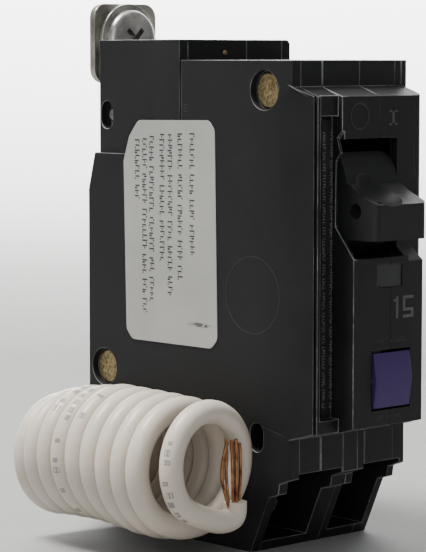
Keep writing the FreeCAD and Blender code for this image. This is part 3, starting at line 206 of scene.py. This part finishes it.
def smudge(material, centre, reach, colour):
    """Adds a broken dark smudge around a place (y, z) on the label side, reaching so far."""
    edge, core, speckles, gaps = 1.0, 0.4, 1100, (-0.2, 1.8)
    nodes, links, shader, under = colour_of(material)
    coordinates = nodes.new("ShaderNodeTexCoord")
    mapping = nodes.new("ShaderNodeMapping")
    place = at(0, *centre)
    mapping.vector_type = "TEXTURE"
    mapping.inputs["Location"].default_value = (place.x, place.y, place.z)
    mapping.inputs["Scale"].default_value = (1, reach[0] * MM, reach[1] * MM)
    links.new(coordinates.outputs["Object"], mapping.inputs["Vector"])
    distance = nodes.new("ShaderNodeVectorMath")
    distance.operation = "LENGTH"
    links.new(mapping.outputs["Vector"], distance.inputs[0])
    fade = nodes.new("ShaderNodeMapRange")
    fade.inputs["From Min"].default_value = edge
    fade.inputs["From Max"].default_value = core
    links.new(distance.outputs["Value"], fade.inputs["Value"])
    broken = spread(nodes, links, noise(nodes, links, speckles, detail=5), *gaps)
    amount = calculate(nodes, links, "MULTIPLY", fade.outputs["Result"], broken, clamp=True)
    links.new(blend(nodes, links, amount, under, colour), shader.inputs["Base Color"])


def painted_shade_region(material, left, front, colour):
    """Keeps a plain colour to the right of one place and ahead of another."""
    nodes, links, shader, under = colour_of(material)
    coordinates = nodes.new("ShaderNodeTexCoord")
    axes = nodes.new("ShaderNodeSeparateXYZ")
    links.new(coordinates.outputs["Object"], axes.inputs["Vector"])
    corner = at(left, front, 0)
    right = calculate(nodes, links, "GREATER_THAN", axes.outputs["X"], corner.x)
    ahead = calculate(nodes, links, "LESS_THAN", axes.outputs["Y"], corner.y)
    inside = calculate(nodes, links, "MULTIPLY", right, ahead)
    links.new(blend(nodes, links, inside, under, colour), shader.inputs["Base Color"])


CASE = moulded("case_plastic", (0.0070, 0.0073, 0.0080), (0.0118, 0.0122, 0.0131), (0.44, 0.62),
               specular=0.22, scuff_gain=2.6)
# Paler, patchy colour for the mouldings' rounded edges: a painted highlight, with scuffs.
EDGE_HIGHLIGHT = moulded("case_edge_painted_highlight", (0.018, 0.0185, 0.019), (0.165, 0.167, 0.17), (0.4, 0.6),
               specular=0.4, wear_and_highlight=0.5, scuff_gain=1.4, patch=210)
# The nose's own edges, right of its slanted side and ahead of the shoulder, get no painted
# highlight: they keep a dark plain colour there, as painted shade.
painted_shade_region(EDGE_HIGHLIGHT, 7.4, -3.5, (0.012, 0.0125, 0.013))
HANDLE = moulded("handle_plastic", (0.0078, 0.0082, 0.0088), (0.0125, 0.0129, 0.0137),
                 (0.4, 0.56), specular=0.24)
BUTTON = moulded("button_plastic", (0.029, 0.013, 0.080), (0.041, 0.019, 0.106), (0.34, 0.5),
                 0.6, specular=0.28, scuff_gain=2.4)
WINDOW = moulded("window_plastic", (0.022, 0.023, 0.025), (0.032, 0.033, 0.036), (0.25, 0.4),
                 0.3, specular=0.3)
LABEL = moulded("label_paper", (0.30, 0.302, 0.285), (0.365, 0.366, 0.345), (0.42, 0.62), 0.4,
                specular=0.35, wear_and_highlight=0.7, scuff_gain=0.8)
smudge(LABEL, (20.4, 34.4), (3.2, 0.42), (0.03, 0.03, 0.03))
STRIP = moulded("strip_paper", (0.012, 0.0122, 0.013), (0.019, 0.0195, 0.02), (0.45, 0.62), 0.4,
                specular=0.25)
INK = moulded("label_ink", (0.03, 0.031, 0.034), (0.06, 0.061, 0.064), (0.5, 0.7), 0.4,
              specular=0.2)
MARKING = moulded("marking_ink", (0.060, 0.061, 0.062), (0.105, 0.106, 0.106), (0.5, 0.7), 0.4,
                  specular=0.25)
STRIP_INK = moulded("strip_ink", (0.10, 0.101, 0.102), (0.17, 0.171, 0.172), (0.5, 0.7), 0.4)
ON_INK = moulded("on_mark_ink", (0.04, 0.041, 0.042), (0.07, 0.071, 0.072), (0.5, 0.7), 0.4)
RELIEF = moulded("moulded_mark", (0.015, 0.0155, 0.0165), (0.028, 0.0285, 0.030), (0.4, 0.55),
                 0.5, specular=0.3)
INSULATION = moulded("wire_insulation", (0.50, 0.44, 0.37), (0.60, 0.54, 0.465), (0.28, 0.46),
                     0.3, specular=0.4, wear_and_highlight=0.68, scuff_gain=0.82)
WIRE_INK = moulded("wire_ink", (0.17, 0.155, 0.145), (0.36, 0.33, 0.30), (0.5, 0.7), 0.4)
FIBRE = moulded("fibre", (0.25, 0.19, 0.14), (0.4, 0.31, 0.24), (0.6, 0.8))
LAMINATE = moulded("board_laminate", (0.015, 0.09, 0.035), (0.03, 0.16, 0.07), (0.3, 0.5))
COMPONENT = moulded("component_plastic", (0.015, 0.015, 0.015), (0.03, 0.03, 0.03), (0.4, 0.6))
FERRITE = moulded("ferrite", (0.05, 0.05, 0.055), (0.1, 0.1, 0.11), (0.5, 0.7))
RUBBER = moulded("gland_rubber", (0.008, 0.008, 0.008), (0.013, 0.013, 0.013), (0.6, 0.8),
                 specular=0.25)
BRASS = metal("rivet_brass", (0.10, 0.075, 0.04), (0.42, 0.33, 0.16), (0.3, 0.55), spots=1900)
ZINC = metal("zinc_steel", (0.26, 0.25, 0.235), (0.55, 0.54, 0.51), (0.24, 0.45))
TINNED = metal("tinned_copper", (0.22, 0.21, 0.18), (0.50, 0.48, 0.42), (0.26, 0.5))
IRON = metal("soft_iron", (0.20, 0.20, 0.21), (0.36, 0.36, 0.37), (0.35, 0.55))
SILVER = metal("silver_contact", (0.55, 0.54, 0.52), (0.8, 0.79, 0.77), (0.2, 0.35))
COPPER = metal("copper", (0.085, 0.032, 0.014), (0.40, 0.19, 0.09), (0.26, 0.45), spots=700)
SPRING = metal("spring_steel", (0.3, 0.3, 0.31), (0.5, 0.5, 0.51), (0.25, 0.4))
ALUMINIUM = metal("lug_aluminium", (0.30, 0.30, 0.29), (0.55, 0.55, 0.54), (0.3, 0.5))

BY_SLOT = {
    "case_plastic": CASE, "handle_plastic": HANDLE, "label_paper": LABEL, "strip_paper": STRIP,
    "rivet_brass": BRASS, "button_plastic": BUTTON, "window_plastic": WINDOW,
    "zinc_steel": ZINC, "tinned_copper": TINNED, "soft_iron": IRON, "silver_contact": SILVER,
    "copper": COPPER, "spring_steel": SPRING, "fibre": FIBRE, "board_laminate": LAMINATE,
    "component_plastic": COMPONENT, "ferrite": FERRITE, "lug_aluminium": ALUMINIUM,
    "wire_insulation": INSULATION, "gland_rubber": RUBBER,
}
SLOT_OF = {part["node"]: part["material_slot"] for part in frame["record"]["subparts"]}


def edge_bevel(piece, width, wear_and_highlight=False):
    """Joins a piece's split faces and rounds its sharp edges, without touching its mesh."""
    weld = piece.modifiers.new("joined", "WELD")
    weld.merge_threshold = 0.001 * MM
    bevel = piece.modifiers.new("edges", "BEVEL")
    bevel.width = width * MM
    bevel.segments = 2
    bevel.limit_method = "ANGLE"
    bevel.angle_limit = math.radians(32)
    bevel.use_clamp_overlap = False
    # Flagged pieces' rounded edges take the paler edge material, a painted highlight.
    if wear_and_highlight:
        piece.data.materials.append(EDGE_HIGHLIGHT)
        bevel.material = len(piece.data.materials) - 1
    normals = piece.modifiers.new("flat_faces", "WEIGHTED_NORMAL")
    normals.mode = "FACE_AREA_WITH_ANGLE"
    normals.weight = 80


# Bevel widths of the case's mouldings, whose edges get a paler colour as a painted highlight, and
# of other nodes.
HIGHLIGHTED_EDGES = {
    "label_side_cover": 0.08, "line_end_cover": 0.1, "electronics_housing": 0.1,
    "mechanism_frame": 0.1, "handle_side_cover": 0.1,
}
EDGES = {
    "side_label": 0.03, "rating_strip": 0.04, "case_rivets": 0.15, "indicator_window": 0.15,
    "test_button": 0.14, "line_terminal": 0.12, "bolt_washer": 0.12,
    "load_lug": 0.15, "neutral_lug": 0.15, "load_screw": 0.15, "neutral_screw": 0.15,
    "rail_clip": 0.1, "pigtail_gland": 0.2,
}


def dress_cad():
    """Gives each carried-over CAD node its material and rounded edges."""
    for node, piece in frame["nodes"].items():
        piece.data.materials.clear()
        piece.data.materials.append(BY_SLOT[SLOT_OF[node]])
        if node in HIGHLIGHTED_EDGES:
            edge_bevel(piece, HIGHLIGHTED_EDGES[node], wear_and_highlight=True)
        elif node in EDGES:
            edge_bevel(piece, EDGES[node])


# ---------------------------------------------------------------- small builders

def finished(piece, material):
    """Gives a new piece of the case its material, slot and body."""
    piece.data.materials.append(material)
    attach(piece, "case")
    return piece


def mesh_piece(name, vertices, faces):
    """A mesh object from points and faces."""
    mesh = bpy.data.meshes.new(name)
    mesh.from_pydata([tuple(vertex) for vertex in vertices], [], faces)
    mesh.validate()
    piece = bpy.data.objects.new(name, mesh)
    bpy.context.collection.objects.link(piece)
    return piece


def on_side(x):
    """Places (y, z, proud) on the label side's face at depth x."""
    return lambda y, z, proud: at(x - proud, y, z)


def on_front(y):
    """Places (x, z, proud) on a front face at depth y."""
    return lambda x, z, proud: at(x, y - proud, z)


def plates(name, outlines, place, proud, material, sunk=0.05):
    """Thin closed plates with the given outlines, standing a little proud of a face."""
    vertices, faces = [], []
    for outline in outlines:
        first, count = len(vertices), len(outline)
        vertices += [place(u, v, proud) for u, v in outline]
        vertices += [place(u, v, -sunk) for u, v in outline]
        faces.append([first + i for i in range(count)])
        faces.append([first + count + i for i in reversed(range(count))])
        for i in range(count):
            j = (i + 1) % count
            faces.append([first + i, first + count + i, first + count + j, first + j])
    piece = mesh_piece(name, vertices, faces)
    level_normals(piece)
    return finished(piece, material)


def level_normals(piece):
    """Turns all the faces of a closed mesh outwards."""
    editable = bmesh.new()
    editable.from_mesh(piece.data)
    bmesh.ops.recalc_face_normals(editable, faces=editable.faces)
    editable.to_mesh(piece.data)
    editable.free()


def bar(low_u, low_v, high_u, high_v):
    """An upright rectangle's outline."""
    return [(low_u, low_v), (high_u, low_v), (high_u, high_v), (low_u, high_v)]


def ring_outlines(centre, radius, thickness, parts=36):
    """A ring as short plates laid end to end."""
    outlines = []
    for part in range(parts):
        angles = [2 * math.pi * (part + end) / parts for end in (0, 1)]
        rim = [(centre[0] + r * math.cos(a), centre[1] + r * math.sin(a))
               for r, a in ((radius, angles[0]), (radius, angles[1]),
                            (radius - thickness, angles[1]), (radius - thickness, angles[0]))]
        outlines.append(rim)
    return outlines


def printed_line(start, length, across, height, chance, upright=True):
    """Print that can't be read: groups of separate short bars along a line, no letters.

    An upright line runs down from its start, any other runs to the right.
    """
    step, stroke = height * 0.72, height * 0.2
    second_bar, bar_end, group_gap = stroke * 1.5, step * 0.74, step * 0.8
    outlines, place, group = [], 0.0, 0
    while place < length:
        if group == 0:
            group = chance.randint(3, 9)
            place += group_gap
            continue
        group -= 1
        foot = chance.choice((0, 0, 0.15)) * height
        head = chance.choice((0.8, 1)) * height
        level = chance.choice((0, 0.4, 0.8)) * height
        tall = chance.choice((1, 1, 2.6)) * stroke
        for a0, a1, b0, b1 in ((0, stroke, foot, head),
                               (second_bar, bar_end, level, min(level + tall, height))):
            if upright:
                outlines.append(bar(across - b1, start - place - a1,
                                    across - b0, start - place - a0))
            else:
                outlines.append(bar(start + place + a0, across + b0,
                                    start + place + a1, across + b1))
        place += step
    return outlines


# ---------------------------------------------------------------- pigtail

WIRE = 3.6                       # thickness over the insulation
PER_TURN, COIL_END = 16, 9.42    # route points in a turn, and the turns that the coil has
# Turns done, then the ring's centre across, back and up, and its half width and half height.
RINGS = [
    (0.0, -11.5, 41.0, 12.9, 7.8, 8.0), (1.5, -11.6, 35.6, 14.0, 8.9, 8.6),
    (4.0, -11.6, 26.6, 14.7, 9.2, 9.0), (7.0, -11.6, 15.8, 14.1, 9.3, 9.4),
    (8.4, -11.6, 10.8, 14.2, 9.3, 9.1), (8.8, -11.4, 7.0, 15.0, 7.8, 8.4),
    (9.6, -11.4, 5.0, 15.2, 7.4, 8.2),
]
WIRE_END = [(-11.4, 5.0, 6.95), (-9.2, 5.0, 6.6), (-7.3, 4.95, 6.9), (-6.9, 4.9, 8.0),
            (-6.95, 4.9, 9.4)]
LEAD = [(0.0, 0.0, 0.0), (-2.6, 0.0, 0.1), (-6.0, -0.5, 1.0)]    # steps from the bush
GLAND_LOW, GLAND_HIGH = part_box("pigtail_gland")
CORD_EXIT = Vector((GLAND_LOW[0], (GLAND_LOW[1] + GLAND_HIGH[1]) / 2,
                    (GLAND_LOW[2] + GLAND_HIGH[2]) / 2))


def coil_point(turn):
    """A route point after so many turns, a little outside, as the spline cuts its corners."""
    later = next(row for row in RINGS[1:] if turn <= row[0])
    earlier = RINGS[RINGS.index(later) - 1]
    part = (turn - earlier[0]) / (later[0] - earlier[0])
    _, x, y, z, wide, tall = (a + (b - a) * part for a, b in zip(earlier, later))
    angle = 2 * math.pi * turn
    outward = 1 / math.cos(math.pi / PER_TURN)
    return (x - wide * outward * math.sin(angle), y, z + tall * outward * math.cos(angle))


def cord_points():
    """The route: out of the bush, over into the coil's top, round its turns and up at the end."""
    exit_mm = ((CORD_EXIT.x - LABEL_SIDE) / MM, (CORD_EXIT.y - SHOULDER) / MM, CORD_EXIT.z / MM)
    points = [[place + step for place, step in zip(exit_mm, steps)] for steps in LEAD]
    points += [coil_point(step / PER_TURN) for step in range(int(PER_TURN * COIL_END) + 1)]
    points += WIRE_END
    return [at(*point) for point in points]


def smooth_line(name, lines, radius):
    """Tubes along smooth splines through the air, as one curve object."""
    curve = bpy.data.curves.new(name, "CURVE")
    curve.dimensions = "3D"
    for points in lines:
        spline = curve.splines.new("NURBS")
        spline.points.add(len(points) - 1)
        for control, point in zip(spline.points, points):
            control.co = (*point, 1)
        spline.order_u = 3
        spline.use_endpoint_u = True
        spline.resolution_u = 6
    curve.bevel_depth = radius * MM
    curve.bevel_resolution = 8 if radius > 1 else 3
    curve.use_fill_caps = radius > 0
    piece = bpy.data.objects.new(name, curve)
    bpy.context.collection.objects.link(piece)
    return piece


def track_of(points):
    """The points that the smooth line through these control points passes."""
    line = smooth_line("line", [points], 0)
    mesh = bpy.data.meshes.new_from_object(line)
    track = [vertex.co.copy() for vertex in mesh.vertices]
    bpy.data.objects.remove(line)
    return track


def pigtail():
    """The whole insulated wire as one smooth spline."""
    points = cord_points()
    piece = finished(smooth_line("pigtail_wire", [points], WIRE / 2), INSULATION)
    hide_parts("pigtail_lead", "pigtail_coil")
    track = track_of(points)
    length = sum((b - a).length for a, b in zip(track, track[1:]))
    print("pigtail length", round(length, 4), "points", len(track))
    return piece, track, length


def copper_strands():
    """Six bared strands fanning out of the wire's end, cut to uneven lengths."""
    foot, foot_step, foot_height = -8.0, 0.36, 7.6
    tip, tip_step, tip_height = -9.0, 0.58, 19.2
    bows = (-1.5, -0.3, 0.15, 0.1, 0.25, 0.3)
    cuts = (0.3, 0.0, 0.25, 0.1, 0.7, 0.9)
    lines = []
    for index, (bow, cut) in enumerate(zip(bows, cuts)):
        layer = (2 * index) % 3
        low = (foot + foot_step * index, 4.6 + 0.4 * layer, foot_height)
        high = (tip + tip_step * index, 4.4 + 0.45 * layer, tip_height - cut)
        bends = []
        for share in (0.36, 0.72):
            bend = [a + (b - a) * share for a, b in zip(low, high)]
            bend[0] += bow
            bends.append(bend)
        lines.append([at(*point) for point in (low, *bends, high)])
    piece = finished(smooth_line("pigtail_copper", lines, 0.25), COPPER)
    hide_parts("pigtail_strands")
    return piece


# The stretches where the wire's print has lasted, in turns, and the coil's middle, across and up.
PRINTED_TURNS = ((2.02, 2.12), (3.0, 3.34), (4.0, 4.08), (9.0, 9.22))
COIL_MIDDLE = (-11.6, 14.3)
# Faces of one patch: six points on the wire's skin and six below them, two ends of three each.
PATCH_FACES = ((0, 1, 4, 3), (1, 2, 5, 4), (6, 9, 10, 7), (7, 10, 11, 8), (0, 6, 7, 1),
               (1, 7, 8, 2), (3, 4, 10, 9), (4, 5, 11, 10), (0, 3, 9, 6), (2, 8, 11, 5))


def along_wire(track, lengths, place):
    """The wire's centre, its direction and the way out of the coil, so far along it."""
    index = max(1, next(i for i, done in enumerate(lengths) if done >= place))
    share = (place - lengths[index - 1]) / (lengths[index] - lengths[index - 1])
    centre = track[index - 1].lerp(track[index], share)
    forward = (track[index] - track[index - 1]).normalized()
    outward = centre - Vector((at(COIL_MIDDLE[0], 0, 0).x, centre.y, COIL_MIDDLE[1] * MM))
    return centre, forward, (outward - forward * outward.dot(forward)).normalized()


def wire_print(track):
    """Worn marks printed along the wire, as thin patches on its outer side."""
    chance = random.Random(11)
    skin, reach, inked = WIRE / 2 * MM, math.radians(24), 0.75
    proud, sunk = 0.015 * MM, 0.05 * MM
    vertices, faces, lengths, place = [], [], [0.0], 0.0
    for a, b in zip(track, track[1:]):
        lengths.append(lengths[-1] + (b - a).length)
    while place < lengths[-1]:
        width = chance.uniform(0.5, 0.95) * MM
        turn = place / lengths[-1] * COIL_END
        printed = any(low < turn < high for low, high in PRINTED_TURNS)
        if printed and chance.random() < inked:
            ends = [along_wire(track, lengths, along) for along in (place, place + width)]
            lean = chance.uniform(0.2, 0.45)
            low, high = sorted((chance.uniform(-1, -0.3), chance.uniform(0.3, 1)))
            first = len(vertices)
            for radius in (skin + proud, skin - sunk):
                for centre, forward, outward in ends:
                    for share in (low, (low + high) / 2, high):
                        tilt = Matrix.Rotation(share * reach - lean, 3, forward)
                        vertices.append(centre + tilt @ outward * radius)
            faces += [[first + corner for corner in corners] for corners in PATCH_FACES]
        place += width + chance.uniform(0.35, 0.8) * MM
    piece = mesh_piece("pigtail_print", vertices, faces)
    level_normals(piece)
    return finished(piece, WIRE_INK)


# ---------------------------------------------------------------- print and marks

def label_print():
    """Seven lines of print running down the side label."""
    chance = random.Random(5)
    face = (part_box("side_label")[0][0] - LABEL_SIDE) / MM
    # Depth of each line, its top and its length.
    lines = [(22.7, 65.1, 19.5), (25.5, 65.0, 24.5), (27.9, 64.8, 26.4), (29.8, 64.8, 21.0),
             (32.3, 64.4, 26.8), (34.0, 64.0, 28.8), (35.8, 63.8, 10.6)]
    outlines = []
    for depth, top, length in lines:
        outlines += printed_line(top, length, depth, 1.15, chance)
    return plates("label_print", outlines, on_side(face), 0.015, INK, sunk=0.0)


def strip_print():
    """Two lines of small pale strokes down the strip in the front channel."""
    chance = random.Random(9)
    margin, size = 1.5, 0.62
    low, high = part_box("rating_strip")
    front = (low[1] - SHOULDER) / MM
    left, top = (low[0] - LABEL_SIDE) / MM, high[2] / MM
    length = (high[2] - low[2]) / MM - 2 * margin
    outlines = []
    for shift in (0.75, 2.3):
        outlines += printed_line(top - margin, length, left + shift, size, chance)
    return plates("strip_print", outlines, on_front(front), 0.015, STRIP_INK,
                  sunk=0.0)


def front_marks():
    """Generic marks on the nose: a plain ring, an on bar, the number 15 and worn short lines."""
    chance = random.Random(3)
    upper, lower = -4.3, -6.8    # depths of the nose's two front faces
    ring = ring_outlines((10.1, 67.4), 2.1, 0.28)
    on_bar = [bar(17.3, 65.9, 17.75, 68.2), bar(16.6, 65.9, 18.45, 66.2),
              bar(16.6, 67.9, 18.45, 68.2)]
    plates("upper_ring", ring, on_front(upper), 0.06, RELIEF)
    plates("on_mark", on_bar, on_front(upper), 0.03, ON_INK)
    stroke, foot, middle, head = 0.46, 36.5, 38.0, 39.9
    left, right = 17.3, 19.6
    one = [bar(15.75, foot, 15.75 + stroke, head), bar(15.2, 39.1, 15.75, 39.5)]
    five = [bar(left, head - stroke, right, head),
            bar(left, middle, left + stroke, head - stroke),
            bar(left, middle - stroke, right, middle),
            bar(right - stroke, foot + stroke, right, middle - stroke),
            bar(left, foot, right, foot + stroke)]
    plates("rating_number", one + five, on_front(lower), 0.03, MARKING)
    lines = printed_line(11.3, 6.4, 32.9, 0.8, chance, upright=False)
    lines += printed_line(11.3, 5.6, 21.1, 0.7, chance, upright=False)
    plates("lower_marks", lines, on_front(lower), 0.03, RELIEF)


def side_marks():
    """Faint moulded marks on the label side: a round ejector mark and three short lines."""
    circle = ring_outlines((8.5, 40.0), 6.0, 0.16, parts=60)
    pitch = 0.5
    dashes = [bar(23.15, 67.75 + pitch * row, 24.3, 67.9 + pitch * row) for row in range(3)]
    plates("side_marks", circle + dashes, on_side(0), 0.03, RELIEF)


def dome(name, place, radius, height, material):
    """A low round button standing out of a front face."""
    rings, parts = 4, 20
    vertices, faces = [], []
    for level in range(rings):
        angle = math.pi / 2 * level / rings
        for part in range(parts):
            turn = 2 * math.pi * part / parts
            vertices.append(at(place[0] + radius * math.cos(angle) * math.cos(turn),
                               place[1] - height * math.sin(angle),
                               place[2] + radius * math.cos(angle) * math.sin(turn)))
    vertices.append(at(place[0], place[1] - height, place[2]))
    for level in range(rings - 1):
        for part in range(parts):
            after = (part + 1) % parts
            faces.append([level * parts + part, level * parts + after,
                          (level + 1) * parts + after, (level + 1) * parts + part])
    last = (rings - 1) * parts
    faces += [[last + part, last + (part + 1) % parts, rings * parts] for part in range(parts)]
    faces.append(list(range(parts)))
    piece = mesh_piece(name, vertices, faces)
    level_normals(piece)
    return finished(piece, material)


# ---------------------------------------------------------------- stage

CAMERA_PLACE = (-247.54, -251.81, 76.76)
CAMERA_AZIMUTH, CAMERA_ELEVATION, LENS = 42.6, 5.377, 153.97
SKY_COLOUR, SKY_STRENGTH = (0.97, 0.98, 1.0, 1), 0.38
# Name, place in metres from the case's middle, what it faces (the case if None), size in
# metres, power in watts and colour.
LIGHTS = [
    ("key", (-0.30, 0.22, 0.92), None, 0.36, 23.0, (1.0, 0.99, 0.96)),
    ("fill", (-0.90, -0.55, 0.30), None, 0.8, 2.4, (0.96, 0.98, 1.0)),
    ("top", (0.25, 0.1, 0.95), None, 0.8, 3.0, (1.0, 1.0, 1.0)),
    ("backdrop", (0.9, 1.0, 1.5), (0.55, 0.6, -0.6), 1.6, 640.0, (1.0, 1.0, 1.0)),
]


def floor_and_backdrop():
    """A pale floor curving up into a backdrop, in metres and square to the camera."""
    width, front, rear, rise, corner, steps = 4.0, -1.5, 2.4, 2.6, 1.7, 24
    profile = [(front, 0.0), (rear - corner, 0.0)]
    for step in range(1, steps + 1):
        angle = math.pi / 2 * step / steps
        profile.append((rear - corner + corner * math.sin(angle),
                        corner - corner * math.cos(angle)))
    profile.append((rear, rise))
    turn = Matrix.Rotation(math.radians(-CAMERA_AZIMUTH), 3, "Z")
    vertices = [turn @ Vector((x, y, z)) for x in (-width, width) for y, z in profile]
    count = len(profile)
    faces = [(i, i + 1, count + i + 1, count + i) for i in range(count - 1)]
    floor = mesh_piece("floor", vertices, faces)
    material, *_ = new_material("floor_paper", (0.29, 0.29, 0.286), 0.85, specular=0.2)
    floor.data.materials.append(material)
    for polygon in floor.data.polygons:
        polygon.use_smooth = True


def lighting():
    """Even light from the sky and the soft lamps."""
    world = bpy.data.worlds.new("studio")
    bpy.context.scene.world = world
    world.use_nodes = True
    world.node_tree.nodes["Background"].inputs["Color"].default_value = SKY_COLOUR
    world.node_tree.nodes["Background"].inputs["Strength"].default_value = SKY_STRENGTH
    middle = at(10, 20, 40)
    for name, place, towards, size, power, colour in LIGHTS:
        light = bpy.data.lights.new(name, "AREA")
        light.size = size
        light.energy = power
        light.color = colour
        lamp = bpy.data.objects.new(name, light)
        lamp.location = middle + Vector(place)
        aim = Vector(towards) if towards else -Vector(place)
        lamp.rotation_euler = aim.to_track_quat("-Z", "Y").to_euler()
        bpy.context.collection.objects.link(lamp)


def view():
    """The camera."""
    camera = bpy.data.cameras.new("camera")
    camera.lens = LENS
    camera.sensor_width = 36
    holder = bpy.data.objects.new("camera", camera)
    holder.location = at(*CAMERA_PLACE)
    holder.rotation_euler = (math.radians(90 - CAMERA_ELEVATION), 0,
                             math.radians(-CAMERA_AZIMUTH))
    bpy.context.collection.objects.link(holder)
    bpy.context.scene.camera = holder


# ---------------------------------------------------------------- assembly

dress_cad()
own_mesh(frame["nodes"]["plunger_spring"])
wire, wire_track, wire_length = pigtail()
strands = copper_strands()
marks = wire_print(wire_track)
label_print()
strip_print()
front_marks()
side_marks()
dome("vent_pin", (9.8, 25.2, 76.9), 0.5, 0.25, BRASS)
floor_and_backdrop()
lighting()
view()
